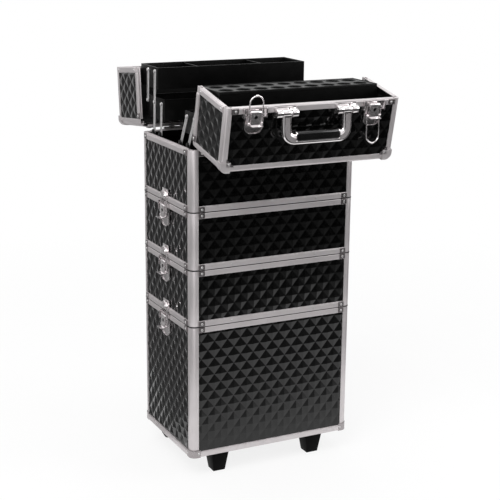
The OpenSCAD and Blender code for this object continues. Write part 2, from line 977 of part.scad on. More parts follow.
module tray_brackets() {
  plate_in = arm_out + slide;
  pad_out = half_w - bar_in;
  strip_half = outer_pivot + ear_r;
  strip_h = 2 * rim_h;
  color("DimGray") on_case() {
    both_sides() difference() {
      union() {
        translate([plate_in, -strip_half, rim_z - strip_h])
          cube([arm_t, 2 * strip_half, strip_h]);
        translate([plate_in, -strip_half, rim_z - rim_h])
          cube([pad_out - plate_in, 2 * strip_half, rim_h - over]);
        for (y = case_pivots) {
          translate([plate_in, y, pivot_z]) rotate([0, 90, 0]) cylinder(r = ear_r, h = arm_t);
          translate([plate_in, y - ear_r, rim_z - over])
            cube([arm_t, 2 * ear_r, pivot_rise + over]);
        }
      }
      for (y = case_pivots) translate([plate_in - over, y, pivot_z]) rotate([0, 90, 0])
        cylinder(r = rivet_r + fit, h = arm_t + 2 * over);
    }
    for (y = case_pivots) translate([0, y, pivot_z]) case_rivet();
  }
}

// rivet that holds an arm on its case bracket
module case_rivet() {
  head_t = bracket_gap - 2 * bar_gap;
  both_sides() rotate([0, 90, 0]) {
    translate([0, 0, arm_in - fit - rivet_head_t]) cylinder(r = rivet_head_r, h = rivet_head_t);
    translate([0, 0, arm_in - rivet_head_t])
      cylinder(r = rivet_r, h = 2 * arm_t + slide + rivet_head_t);
    translate([0, 0, arm_out + slide + arm_t]) cylinder(r = rivet_head_r, h = head_t);
  }
}

module front_lower_tray() {
  color("DimGray") on_case() to_front() lower_tray(front_lean);
}

module front_upper_tray() {
  color("DimGray") on_case() to_front() upper_tray(front_lean, holder_t);
}

module bottle_holder() {
  at = tip(outer_pivot, front_lean, 2);
  y = at[1] - pivot_in;
  color("DimGray") on_case() to_front() translate([0, y, at[2] + upper_rise - holder_t])
    difference() {
      translate([-tray_half, 0, 0]) cube([2 * tray_half, tray_d, holder_t]);
      for (k = [0:hole_n - 1], row = hole_rows)
        translate([(k - (hole_n - 1) / 2) * hole_pitch, tray_d / 2 + row, -over])
          cylinder(d = hole_d, h = holder_t + 2 * over);
    }
}

module rear_lower_tray() {
  color("DimGray") on_case() lower_tray(rear_lean);
}

module rear_upper_tray() {
  color("DimGray") on_case() {
    upper_tray(rear_lean, 0);
    dividers(rear_lean);
  }
}

module front_long_arms() {
  color("Silver") on_case() to_front() arm([0, outer_pivot, pivot_z], front_lean, 2);
}

module front_short_arms() {
  color("Silver") on_case() to_front() arm([0, inner_pivot, pivot_z], front_lean, 1);
}

module front_upper_arms() {
  color("Silver") on_case() to_front()
    arm(tip(outer_pivot + pivot_gap, front_lean, 1), front_lean, 1);
}

module rear_long_arms() {
  color("Silver") on_case() arm([0, outer_pivot, pivot_z], rear_lean, 2);
}

module rear_short_arms() {
  color("Silver") on_case() arm([0, inner_pivot, pivot_z], rear_lean, 1);
}

module rear_upper_arms() {
  color("Silver") on_case() arm(tip(outer_pivot + pivot_gap, rear_lean, 1), rear_lean, 1);
}

// feet and wheels

// side view of a foot as a polygon
foot_side = [
  [-foot_bottom / 2, 0], [foot_bottom / 2, 0], [foot_top / 2, foot_h], [-foot_top / 2, foot_h]
];

module front_feet() {
  color("DimGray") on_case() both_sides() translate([-foot_x, foot_y, 0]) union() {
    intersection() {
      rotate([90, 0, 0]) linear_extrude(foot_top, center = true) polygon(foot_side);
      rotate([90, 0, 90]) linear_extrude(foot_top, center = true) polygon(foot_side);
    }
    translate([-foot_pad / 2, -foot_pad / 2, foot_h - over])
      cube([foot_pad, foot_pad, skin_t + over]);
  }
}

// wheel along X with a rounded tyre, a recessed hub and a bore
module wheel() {
  rotate([0, 90, 0]) rotate_extrude() union() {
    translate([axle_r + fit, -hub_w / 2]) square([wheel_r - axle_r - fit - tyre_round, hub_w]);
    translate([wheel_r - tyre_t - tyre_round, -wheel_w / 2]) square([tyre_t, wheel_w]);
    translate([wheel_r - tyre_round - over, tyre_round - wheel_w / 2])
      square([tyre_round + over, wheel_w - 2 * tyre_round]);
    for (s = [-1, 1]) translate([wheel_r - tyre_round, s * (wheel_w / 2 - tyre_round)])
      circle(tyre_round);
  }
}

module left_wheel() {
  color("DimGray") on_case() translate([-wheel_x, wheel_y, wheel_z]) wheel();
}

module right_wheel() {
  color("DimGray") on_case() translate([wheel_x, wheel_y, wheel_z]) wheel();
}

// fork plate with two cheeks and the axle of a wheel
module wheel_bracket() {
  inner = wheel_w / 2 + cheek_gap;
  outer = inner + cheek_t;
  plate_d = half_d - wheel_y - plate_back + cheek_w / 2;
  difference() {
    union() {
      translate([-outer, -cheek_w / 2, foot_h - wheel_z - cheek_t])
        cube([2 * outer, plate_d, cheek_t]);
      for (x = [-outer, inner]) {
        translate([x, -cheek_w / 2, 0]) cube([cheek_t, cheek_w, foot_h - wheel_z - over]);
        translate([x, 0, 0]) rotate([0, 90, 0]) cylinder(r = cheek_w / 2, h = cheek_t);
      }
    }
    translate([-outer - over, 0, 0]) rotate([0, 90, 0])
      cylinder(r = axle_r + fit, h = 2 * (outer + over));
  }
  translate([-outer, 0, 0]) rotate([0, 90, 0]) cylinder(r = axle_r, h = 2 * outer);
  for (x = [-outer - axle_head_t, outer]) translate([x, 0, 0]) rotate([0, 90, 0])
    cylinder(r = axle_head_r, h = axle_head_t);
}

module wheel_brackets() {
  color("DimGray") on_case() both_sides() translate([-wheel_x, wheel_y, wheel_z]) wheel_bracket();
}

// pull handle at the rear

// rectangle rounded at its corners, centred
module rounded_2d(size, r) {
  square([size[0] - 2 * r, size[1]], center = true);
  square([size[0], size[1] - 2 * r], center = true);
  for (x = [-1, 1], y = [-1, 1]) translate([x * (size[0] / 2 - r), y * (size[1] / 2 - r)])
    circle(r);
}

module trolley_rails() {
  color("Silver") on_case() both_sides() translate([-rail_x, rail_y, 0]) {
    translate([0, 0, rail_low]) linear_extrude(rail_top - rail_low) difference() {
      square(rail, center = true);
      square([rail[0] - 2 * rail_wall, rail[1] - 2 * rail_wall], center = true);
    }
    for (z = [foot_h, rail_top - collar[2]]) translate([-collar[0] / 2, half_d - rail_y, z])
      difference() {
        cube(collar);
        translate([collar[0] / 2, rail_y - half_d, z == foot_h ? rail_end : -over])
          linear_extrude(collar[2] + 2 * over) square(rail, center = true);
      }
  }
}

module trolley_tubes() {
  tube = [rail[0] - 2 * (rail_wall + tube_play), rail[1] - 2 * (rail_wall + tube_play)];
  color("Silver") on_case() both_sides() translate([-rail_x, rail_y, rail_low + over])
    linear_extrude(rail_top - rail_low + tube_stick) square(tube, center = true);
}

module trolley_grip() {
  z = rail_top + over + tube_stick + pull_grip[2] / 2;
  color("DimGray") on_case() translate([0, rail_y + pull_back, z]) rotate([90, 0, 0])
    linear_extrude(pull_grip[1], center = true)
      rounded_2d([pull_grip[0], pull_grip[2]], pull_round);
}

// drawing

bottom_case_panels();
lower_middle_panels();
upper_middle_panels();
top_case_panels();
bottom_case_frame();
lower_middle_frame();
upper_middle_frame();
top_case_frame();
corner_brackets();
side_latch_bases();
side_latch_strikes();
lid_hinge_case_leaves();
tray_brackets();
front_feet();
wheel_brackets();
trolley_rails();
left_wheel();
right_wheel();
trolley_tubes();
trolley_grip();
front_lid_panels();
front_lid_frame();
front_lid_hinge_leaves();
lid_latch_bases();
handle_brackets();
carry_handle();
carry_grip();
rear_lid_panels();
rear_lid_frame();
rear_lid_hinge_leaves();
lid_latch_strikes();
left_lid_latch_lever();
left_lid_bail_pin();
left_lid_bail();
right_lid_latch_lever();
right_lid_bail_pin();
right_lid_bail();
left_top_lever();
left_middle_lever();
left_bottom_lever();
right_top_lever();
right_middle_lever();
right_bottom_lever();
left_top_bail();
left_middle_bail();
left_bottom_bail();
right_top_bail();
right_middle_bail();
right_bottom_bail();
front_lower_tray();
front_upper_tray();
bottle_holder();
rear_lower_tray();
rear_upper_tray();
front_long_arms();
front_short_arms();
front_upper_arms();
rear_long_arms();
rear_short_arms();
rear_upper_arms();
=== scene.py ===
"""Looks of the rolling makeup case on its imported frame: finishes, embossed sheets, fittings and studio."""
import json
import math

import bmesh
import bpy
from mathutils import Matrix, Vector
from mathutils.bvhtree import BVHTree


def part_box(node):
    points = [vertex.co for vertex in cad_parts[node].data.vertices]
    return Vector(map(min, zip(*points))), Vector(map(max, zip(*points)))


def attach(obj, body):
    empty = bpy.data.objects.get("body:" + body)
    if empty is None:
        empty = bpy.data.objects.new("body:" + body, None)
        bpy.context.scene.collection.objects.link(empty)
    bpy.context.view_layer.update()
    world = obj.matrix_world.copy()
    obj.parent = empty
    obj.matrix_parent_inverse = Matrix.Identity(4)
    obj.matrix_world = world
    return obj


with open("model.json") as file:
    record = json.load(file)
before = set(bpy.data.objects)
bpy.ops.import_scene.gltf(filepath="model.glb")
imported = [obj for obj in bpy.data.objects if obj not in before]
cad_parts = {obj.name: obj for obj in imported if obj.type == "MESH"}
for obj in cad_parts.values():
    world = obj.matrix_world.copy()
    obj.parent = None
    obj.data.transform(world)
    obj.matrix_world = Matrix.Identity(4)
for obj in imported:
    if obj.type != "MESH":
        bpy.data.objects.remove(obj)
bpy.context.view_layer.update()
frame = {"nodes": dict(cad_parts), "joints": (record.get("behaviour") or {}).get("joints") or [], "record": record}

nodes = frame["nodes"]
joints = {j["name"]: j for j in frame["joints"]}
X, Y, Z = Vector((1, 0, 0)), Vector((0, 1, 0)), Vector((0, 0, 1))
STILL = Matrix.Identity(4)
SIDES = (-1, 1)
MM = 0.001

# sizes of the solids that the pieces sit on, taken from the part's source
SKIN_T = 1.5 * MM
PANEL_T = 5 * MM
POST_LEG = 16 * MM
POST_R = 12 * MM
EDGE_LEG = 12 * MM
RIM_H = 12 * MM
TONGUE_H = 1.6 * MM
LID_GAP = 0.6 * MM
LID_SPLIT = 0.5 * MM
BRACKET_W = 12 * MM
CAP_T = 1.1 * MM
CAP_LEG = 19 * MM
CAP_H = 15 * MM
LEAF_T = 1.5 * MM
COLLAR_H = 12 * MM
TRAY_T = 2 * MM
TRAY_H = 42 * MM
HOLE_R = 12.5 * MM
HOLE_PITCH = 34.5 * MM
HOLE_COUNT = 9
HOLE_ROW = 21 * MM
WIRE_R = 1.25 * MM
LATCH_AXIS_H = 5 * MM
LATCH_AXIS_V = -9 * MM
SHEET_T = 1.2 * MM
KEYHOLE_V = -18 * MM
KEYHOLE_TOP = -17 * MM
KEYHOLE_R = 2 * MM
LEVER_H = 8 * MM
HANDLE_X = 61 * MM
HANDLE_DROP = 47 * MM
HANDLE_BEND = 16 * MM
HANDLE_TOP = 7 * MM
BOXES = ("bottom_case", "lower_middle", "upper_middle", "top_case")

# edges and shading of the solids
EDGE_ROUND = 0.35 * MM
CURVE_ANGLE = 25
MERGE = 0.02 * MM
CUT_SLACK = 0.001 * MM
END_SLACK = 0.05 * MM

# embossing of the sheets
DIAMOND_W = 27.9 * MM
DIAMOND_H = 33.7 * MM
DIAMOND_RISE = 2.1 * MM
DIAMOND_EDGE = 1.1 * MM
DIAMOND_ROUND = 0.5 * MM
DIAMOND_ANGLE = 4

# rivets and screws; a head's profile is in shares of its radius and its rise
HEAD_PROFILE = ((1.0, -0.2), (1.0, 0.0), (0.97, 0.45), (0.72, 0.82), (0.35, 0.97))
HEAD_STEPS = 14
RIVET_R = 2.4 * MM
RIVET_H = 1.1 * MM
SCREW_R = 1.7 * MM
SCREW_H = 0.7 * MM
CAP_RIVET = 15.5 * MM
BAR_RIVET_X = 90 * MM
LEAF_SCREW_X = 20 * MM
LEAF_SCREW_Z = 8.2 * MM
COLLAR_SCREW = 3.5 * MM
BASE_SCREW_U = 17.5 * MM
BASE_SCREW_V = -14 * MM
ARM_RIVET_MAX = 10 * MM
ARM_RIVET_R = 3.3 * MM
ARM_RIVET_H = 0.7 * MM

# bars, ears and gussets on the rims
BAR_RISE = 2.0 * MM
BAR_SINK = 0.5 * MM
BAR_EDGE = 0.8 * MM
BAR_ROUND = 1.9 * MM
EAR_RISE = 2.5 * MM
EAR_ROUND = 0.7 * MM
GUSSET_LEG = 14 * MM
GUSSET_LAP = 2 * MM
GUSSET_RIVET = GUSSET_LEG / 4
GUSSET_ROUND = 0.4 * MM

# seam strips of painted shade, liners, trims, rim strips of painted shade and the board in the top box
CORNER_STEPS = 8
# painted shade in the seams: black strips where the gap between the boxes lies in shadow
SEAM_SHADE_RISE = 0.4 * MM
SEAM_SHADE_HALF = 1.0 * MM
LINING_T = 0.8 * MM
LINING_R = 12 * MM
LINING_STEPS = 5
FACING = 0.9
TRIM_T = 0.6 * MM
TRIM_ROUND = 0.15 * MM
TRIM_EDGE = 1.0 * MM
# the rim strip is painted shade over the lid rim's edge and groove
RIM_SHADE_T = 0.2 * MM
RIM_SHADE_EDGE = 5.4 * MM
PAD_EDGE = 12 * MM
PAD_R = 10 * MM
PAD_T = 1.2 * MM
PAD_BORDER = 5 * MM
PAD_PRESS = 0.4 * MM
PAD_ROUND = 0.3 * MM

# details of the pull grip, the trays, the latches and the handle; profiles are in shares of two sizes
GRIP_RIB_PITCH = 6 * MM
GRIP_RIB_W = 2.4 * MM
GRIP_RIB_H = 0.7 * MM
GRIP_RIB_END = 3 * MM
GRIP_RIB_ROUND = 0.35 * MM
RIB_PITCH = 8 * MM
RIB_W = 0.9 * MM
RIB_T = 0.5 * MM
RIB_END = 3 * MM
RIB_ROUND = 0.2 * MM
RING_PROFILE = ((1, -1), (1, 0), (0.75, 1), (0.15, 1), (0, 0), (0, -1))
RING_STEPS = 36
RING_W = 1.7 * MM
RING_H = 0.6 * MM
LIP_W = 1.6 * MM
LIP_H = 0.9 * MM
LIP_ROUND = 0.3 * MM
KEYHOLE_RING = 1.3 * MM
KEYHOLE_RISE = 0.3 * MM
# the lock barrel is black as painted shade seen through the keyhole
BARREL_R = 4.5 * MM
BARREL_FOOT = 4.2 * MM
BARREL_H = 2.4 * MM
NUB_PROFILE = ((0.5, -1), (0.8, -0.85), (0.97, -0.4), (1, 0), (0.97, 0.4), (0.8, 0.85), (0.5, 1))
NUB_STEPS = 16
NUB_R = 1.75 * MM
NUB_OUT = 0.55 * MM
NUB_HALF = 3.2 * MM
FACE_HALF = 8.4 * MM
FACE_AXES = (9.9 * MM, 5.3 * MM)
FACE_STEPS = 12
BEND_STEPS = 12


# materials

# the mix node's sockets for colours: factor, first and second colour, and result
MIX_INPUTS = (0, 6, 7)
MIX_RESULT = 2


def put(tree, socket, value):
    """Links an output to a socket, or sets the socket to a plain value."""
    if isinstance(value, bpy.types.NodeSocket):
        tree.links.new(value, socket)
    else:
        socket.default_value = value


class Nodes:
    """A material with a principled shader, to which a finish adds its own nodes."""

    def __init__(self, name):
        self.material = bpy.data.materials.new(name)
        self.material.use_nodes = True
        self.tree = self.material.node_tree
        self.shader = self.tree.nodes["Principled BSDF"]
        self.surface = self.tree.nodes["Material Output"].inputs["Surface"]
        self.place = self.add("ShaderNodeTexCoord").outputs["Object"]

    def add(self, kind, **inputs):
        """A node of that kind with its input sockets set or linked, by name."""
        node = self.tree.nodes.new(kind)
        for key, value in inputs.items():
            self.put(node.inputs[key.replace("_", " ")], value)
        return node

    def put(self, socket, value):
        """Links or sets a socket of this material."""
        put(self.tree, socket, value)

    def noise(self, scale, detail=3.0, stretch=(1, 1, 1)):
        """Noise from 0 to 1 with so many cells to the metre, drawn out along an axis by a stretch."""
        place = self.add("ShaderNodeMapping", Vector=self.place, Scale=stretch).outputs["Vector"]
        return self.add("ShaderNodeTexNoise", Vector=place, Scale=scale, Detail=detail).outputs["Fac"]

    def spread(self, value, low, high, start=0.3, stop=0.7):
        """A value from start to stop drawn out to low to high."""
        ends = {"From_Min": start, "From_Max": stop, "To_Min": low, "To_Max": high}
        return self.add("ShaderNodeMapRange", Value=value, **ends).outputs["Result"]

    def mix(self, factor, first, second):
        """A colour between two colours."""
        node = self.tree.nodes.new("ShaderNodeMix")
        node.data_type = "RGBA"
        for socket, value in zip(MIX_INPUTS, (factor, first, second)):
            self.put(node.inputs[socket], value)
        return node.outputs[MIX_RESULT]

    def bump(self, height, strength, distance):
        """Puts a height on the shader's normal."""
        node = self.add("ShaderNodeBump", Height=height, Strength=strength, Distance=distance)
        self.put(self.shader.inputs["Normal"], node.outputs["Normal"])

    def finish(self, colour, roughness, metallic=0.0):
        """Puts the main values on the shader and returns the material."""
        self.put(self.shader.inputs["Base Color"], colour)
        self.put(self.shader.inputs["Roughness"], roughness)
        self.put(self.shader.inputs["Metallic"], metallic)
        return self.material


def grey(value, warmth=0.0):
    """A grey with a faint rose tint."""
    return (value * (1 + warmth), value, value * (1 + warmth / 5), 1)


def metal(name, tone, rough, grain, stretch=(1, 1, 1), warmth=0.02, metallic=1.0, wear=0.25):
    """Plated or anodised metal with a fine grain, cloudy tarnish and small scratches."""
    m = Nodes(name)
    cloud = m.noise(scale=18)
    fine = m.noise(scale=grain, detail=5, stretch=stretch)
    streaks = m.noise(scale=90, detail=6, stretch=(1, 6, 0.4))
    scratch = m.spread(streaks, low=0, high=1, start=0.62, stop=0.7)
    tint = m.mix(m.spread(cloud, low=0, high=1), grey(tone * 0.9, warmth), grey(tone, warmth))
    worn = m.spread(scratch, low=0, high=wear, start=0, stop=1)
    m.bump(fine, strength=0.2 * rough, distance=0.2 * MM)
    roughness = m.spread(fine, low=rough * 0.85, high=rough * 1.2)
    return m.finish(m.mix(worn, tint, grey(tone * 0.72, warmth)), roughness, metallic)


def plastic(name, tone, rough, grain, relief, dust=0.004, gloss=0.5):
    """Moulded or embossed black plastic with a skin grain and a trace of dust in it."""
    m = Nodes(name)
    fine = m.noise(scale=grain, detail=4)
    dusty = m.spread(m.noise(scale=60, detail=6), low=0, high=1, start=0.5, stop=0.75)
    m.bump(fine, strength=relief, distance=0.3 * MM)
    m.put(m.shader.inputs["Specular IOR Level"], gloss)
    roughness = m.spread(m.noise(scale=40, detail=4), low=rough * 0.9, high=rough * 1.1)
    return m.finish(m.mix(dusty, grey(tone), grey(tone + dust, warmth=0.02)), roughness)


def flock(name, tone, gloss):
    """Short black flock with a fibrous nap, on moulded liners."""
    m = Nodes(name)
    nap = m.noise(scale=1500, detail=6)
    colour = m.mix(m.spread(nap, low=0, high=1), grey(tone * 0.6), grey(tone * 1.3))
    m.bump(nap, strength=0.5, distance=0.4 * MM)
    m.put(m.shader.inputs["Specular IOR Level"], gloss)
    return m.finish(colour, m.spread(nap, low=0.8, high=0.95))


FINISHES = {
    "panel": plastic("panel_black", tone=0.001, rough=0.1, grain=700, relief=0.02, dust=0.0008),
    "frame": metal("frame_satin", tone=0.6, rough=0.4, grain=1400, warmth=0.06, metallic=0.66),
    "bracket": metal("bracket_nickel", tone=0.36, rough=0.2, grain=900, warmth=0.08, metallic=0.9),
    "chrome": metal("bright_chrome", tone=0.72, rough=0.08, grain=500, warmth=0.06, metallic=0.74, wear=0.06),
    "hinge": metal("hinge_sheet", tone=0.6, rough=0.34, grain=900, metallic=0.85),
    "grip": plastic("grip_gloss", tone=0.004, rough=0.22, grain=900, relief=0.02),
    "tray": plastic("tray_black", tone=0.002, rough=0.35, grain=500, relief=0.03, dust=0.0015, gloss=0.1),
    "holder": plastic("holder_satin", tone=0.004, rough=0.4, grain=900, relief=0.06, dust=0.003, gloss=0.15),
    "arm": metal("arm_plated", tone=0.75, rough=0.3, grain=700, stretch=(1, 1, 0.2), metallic=0.6),
    "tray_bracket": plastic(
        "bracket_paint", tone=0.004, rough=0.35, grain=600, relief=0.08, dust=0.003, gloss=0.2),
    "foot": plastic("foot_moulded", tone=0.003, rough=0.5, grain=900, relief=0.15, dust=0.002, gloss=0.04),
    "wheel": plastic("wheel_rubber", tone=0.01, rough=0.6, grain=700, relief=0.2, dust=0.02, gloss=0.3),
    "pull_tube": metal("pull_satin", tone=0.6, rough=0.32, grain=1200, stretch=(1, 1, 0.1), metallic=0.85),
}
LATCH_CHROME = metal("latch_chrome", tone=0.85, rough=0.1, grain=500, warmth=0.05, metallic=0.91, wear=0.08)
LATCH_PLATE = metal("latch_plate", tone=0.72, rough=0.1, grain=500, warmth=0.05, metallic=0.95, wear=0.08)
SADDLE_CHROME = metal(
    "saddle_chrome", tone=0.85, rough=0.06, grain=500, warmth=0.04, metallic=0.97, wear=0.06)
LINING = flock("liner_flock", tone=0.006, gloss=0.08)
# words in the names of nodes that have a chrome of their own; the first that fits is taken
NODE_LOOKS = {
    "latch_base": LATCH_PLATE,
    "latch": LATCH_CHROME,
    "lever": LATCH_CHROME,
    "bail": LATCH_CHROME,
    "handle_brackets": SADDLE_CHROME,
    "carry_handle": SADDLE_CHROME,
}


# pieces and their edges

def stand(name, data):
    """A new object in the scene."""
    obj = bpy.data.objects.new(name, data)
    bpy.context.scene.collection.objects.link(obj)
    return obj


def piece(name, bm, body, slot, material=None):
    """The form in a bmesh as an object that rides on a body with the finish of a slot."""
    mesh = bpy.data.meshes.new(name)
    bm.normal_update()
    bm.to_mesh(mesh)
    bm.free()
    mesh.materials.append(material or FINISHES[slot])
    obj = stand(name, mesh)
    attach(obj, body)
    return obj


def soften(obj, width, segments=2, angle=35):
    """Small round edges, so that edges catch the light."""
    bevel = obj.modifiers.new("round_edges", "BEVEL")
    bevel.width = width
    bevel.segments = segments
    bevel.limit_method = "ANGLE"
    bevel.angle_limit = math.radians(angle)
    bevel.use_clamp_overlap = True


def smooth_curves():
    """Geometry nodes that shade curved faces smooth and keep edges sharp."""
    tree = bpy.data.node_groups.new("smooth_curves", "GeometryNodeTree")
    for way in ("INPUT", "OUTPUT"):
        tree.interface.new_socket("Geometry", in_out=way, socket_type="NodeSocketGeometry")
    start = tree.nodes.new("NodeGroupInput")
    end = tree.nodes.new("NodeGroupOutput")
    angle = tree.nodes.new("GeometryNodeInputMeshEdgeAngle")
    gentle = tree.nodes.new("FunctionNodeCompare")
    gentle.data_type = "FLOAT"
    gentle.operation = "LESS_THAN"
    gentle.inputs["B"].default_value = math.radians(CURVE_ANGLE)
    edges = tree.nodes.new("GeometryNodeSetShadeSmooth")
    edges.domain = "EDGE"
    faces = tree.nodes.new("GeometryNodeSetShadeSmooth")
    faces.domain = "FACE"
    tree.links.new(angle.outputs["Unsigned Angle"], gentle.inputs["A"])
    tree.links.new(gentle.outputs["Result"], edges.inputs["Shade Smooth"])
    tree.links.new(start.outputs[0], edges.inputs["Geometry"])
    tree.links.new(edges.outputs["Geometry"], faces.inputs["Geometry"])
    tree.links.new(faces.outputs["Geometry"], end.inputs[0])
    return tree


def finish_solids():
    """Gives each solid its finish, small round edges and smooth curves."""
    curves = smooth_curves()
    for entry in frame["record"]["subparts"]:
        solid = nodes[entry["node"]]
        own = [look for word, look in NODE_LOOKS.items() if word in entry["node"]]
        solid.data.materials.clear()
        solid.data.materials.append(own[0] if own else FINISHES[entry["material_slot"]])
        solid.modifiers.new("weld", "WELD").merge_threshold = MERGE
        soften(solid, EDGE_ROUND)
        solid.modifiers.new("smooth", "NODES").node_group = curves


# places on the solids

def middle(first, second):
    """The middle between two levels, and how far they are apart."""
    return (first + second) / 2, abs(first - second)


def corners(points):
    """Lowest and highest corner of some points."""
    low = Vector(min(p[k] for p in points) for k in range(3))
    high = Vector(max(p[k] for p in points) for k in range(3))
    return low, high


def opening_move(hinge):
    """The move that takes a closed lid half to its open place, from its hinge."""
    axis, at = Vector(hinge["axis"]), Vector(hinge["pos_m"])
    turn = Matrix.Rotation(-math.radians(hinge["range_deg"][0]), 4, axis)
    return Matrix.Translation(at) @ turn @ Matrix.Translation(-at)


def points_under(node, move):
    """A node's points with a move undone."""
    back = move.inverted()
    return [back @ v.co for v in nodes[node].data.vertices]


def shell_tree(node, move=STILL):
    """A search tree of a node's faces with a move undone."""
    return BVHTree.FromPolygons(points_under(node, move), [p.vertices for p in nodes[node].data.polygons])


def solid_boxes(node):
    """Lowest and highest corner of each solid of a node that is wider than a pin, from left to right."""
    bm = bmesh.new()
    bm.from_mesh(nodes[node].data)
    bmesh.ops.remove_doubles(bm, verts=bm.verts, dist=MERGE)
    todo, found = set(bm.verts), []
    while todo:
        group, waiting = [], [todo.pop()]
        while waiting:
            vert = waiting.pop()
            group.append(vert.co)
            linked = {edge.other_vert(vert) for edge in vert.link_edges} & todo
            todo -= linked
            waiting += linked
        low, high = corners(group)
        if min(high - low) > RIVET_R * 2:
            found.append((low, high))
    bm.free()
    return sorted(found, key=lambda pair: tuple(pair[0]))


def widths(node):
    """Where the solids of a node lie along the width."""
    return [(low.x, high.x) for low, high in solid_boxes(node)]


def rivet_ends(node):
    """The middles of a node's rivet ends furthest to the right."""
    points = [v.co for v in nodes[node].data.vertices]
    reach = max(p.x for p in points)
    groups = []
    for point in points:
        if point.x < reach - END_SLACK:
            continue
        near = [group for group in groups if (group[0] - point).length < ARM_RIVET_MAX]
        if near:
            near[0].append(point)
        else:
            groups.append([point])
    ends = [corners(group) for group in groups]
    return [(low + high) / 2 for low, high in ends]


def turned_to(at, out):
    """The move that sets a form on a point, with its own z along a direction."""
    return Matrix.Translation(at) @ Vector(out).to_track_quat("Z", "Y").to_matrix().to_4x4()


def moved(places, move):
    """Points and directions taken along by a move."""
    return [(move @ Vector(at), move.to_3x3() @ out) for at, out in places]


# shapes

def diamond(bm, u, v):
    """A flat pyramid on a rhombic base, at a place on a sheet."""
    half_u, half_v = DIAMOND_W / 2, DIAMOND_H / 2
    foot = ((half_u, 0), (0, half_v), (-half_u, 0), (0, -half_v))
    top = bm.verts.new((u, v, DIAMOND_RISE))
    ring = [bm.verts.new((u + a, v + b, 0)) for a, b in foot]
    for k in range(4):
        bm.faces.new((top, ring[k], ring[(k + 1) % 4]))


def diamond_sheet(name, centre, across, up, width, height, body, move):
    """Embossed sheet of diamonds, cut to a rectangle and pressed down at its edges."""
    bm = bmesh.new()
    columns, rows = math.ceil(width / DIAMOND_W) + 1, math.ceil(height / DIAMOND_H) + 1
    for row in range(-rows, rows + 1):
        for column in range(-columns, columns + 1):
            u, v = column * DIAMOND_W / 2, row * DIAMOND_H / 2
            inside = abs(u) <= (width + DIAMOND_W) / 2 and abs(v) <= (height + DIAMOND_H) / 2
            if inside and (row + column) % 2 == 0:
                diamond(bm, u, v)
    bmesh.ops.remove_doubles(bm, verts=bm.verts, dist=MERGE)
    for normal, reach in ((X, width), (-X, width), (Y, height), (-Y, height)):
        bmesh.ops.bisect_plane(
            bm, geom=bm.verts[:] + bm.edges[:] + bm.faces[:], dist=CUT_SLACK,
            plane_co=normal * reach / 2, plane_no=normal, clear_outer=True)
    for vert in bm.verts:
        if vert.is_boundary:
            vert.co.z = min(vert.co.z, DIAMOND_EDGE)
    turn = Matrix((across, up, across.cross(up))).transposed().to_4x4()
    bm.transform(move @ Matrix.Translation(centre) @ turn)
    sheet = piece(name, bm, body, "panel")
    soften(sheet, DIAMOND_ROUND, angle=DIAMOND_ANGLE)


def face_sheets(label, faces, body, move):
    """Embossed sheets on flat faces, each given as its name, middle, two directions and two sizes."""
    for name, centre, across, up, width, height in faces:
        diamond_sheet(f"{label}_{name}_sheet", Vector(centre), across, up, width, height, body, move)


def lathe(bm, profile, place, count, filled=True):
    """A turned form in a mesh, from the radius and height of each ring of its profile, filled or a tube."""
    loops = []
    for radius, height in profile:
        angles = [2 * math.pi * k / count for k in range(count)]
        ring = [Vector((radius * math.cos(a), radius * math.sin(a), height)) for a in angles]
        loops.append([bm.verts.new(place @ point) for point in ring])
    if filled:
        bm.faces.new(loops[-1])
        bm.faces.new(list(reversed(loops[0])))
    following = loops[1:] if filled else loops[1:] + loops[:1]
    for low, high in zip(loops, following):
        for k in range(count):
            after = (k + 1) % count
            bm.faces.new((low[k], low[after], high[after], high[k])).smooth = filled


def turned_forms(name, places, profile, count, body, slot, filled=True, material=None):
    """Turned forms of one profile, each at a point and along a direction, as one mesh."""
    bm = bmesh.new()
    for at, out in places:
        lathe(bm, profile, turned_to(at, out), count, filled)
    piece(name, bm, body, slot, material)


def rivet_heads(name, places, body, slot, radius=RIVET_R, rise=RIVET_H):
    """Domed heads, each at a point and along a direction."""
    profile = [(radius * share, rise * height) for share, height in HEAD_PROFILE]
    turned_forms(name, places, profile, HEAD_STEPS, body, slot)


def screws(name, places, body):
    """Small screw heads, each at a point and along a direction."""
    rivet_heads(name, places, body, "hinge", SCREW_R, SCREW_H)


def rings(name, places, inner, width, rise, body, slot):
    """Low collars round holes, each at a point and along a direction."""
    profile = [(inner + width * share, rise * height) for share, height in RING_PROFILE]
    turned_forms(name, places, profile, RING_STEPS, body, slot, filled=False)


def add_block(bm, first, second, move=STILL):
    """A block between two opposite corners in a mesh."""
    low, high = corners((first, second))
    fit = Matrix.Translation((low + high) / 2) @ Matrix.Diagonal((*(high - low), 1))
    made = bmesh.ops.create_cube(bm, size=1)["verts"]
    bmesh.ops.transform(bm, matrix=move @ fit, verts=made)


def bars(name, blocks, body, slot, move=STILL, round_edge=BAR_ROUND):
    """Blocks between pairs of corners as one mesh with round edges."""
    bm = bmesh.new()
    for first, second in blocks:
        add_block(bm, first, second, move)
    soften(piece(name, bm, body, slot), round_edge, segments=3)


def spans(half, cuts):
    """The stretches of a line from -half to half that are left beside the cuts."""
    left, start = [], -half
    for low, high in sorted(cuts):
        left.append((start, low))
        start = high
    left.append((start, half))
    return [(low, high) for low, high in left if high - low > BAR_ROUND * 2]


def thicken(obj, thickness, offset=-1):
    """Gives a thin shell its thickness, inwards or outwards."""
    solid = obj.modifiers.new("thickness", "SOLIDIFY")
    solid.thickness = thickness
    solid.offset = offset


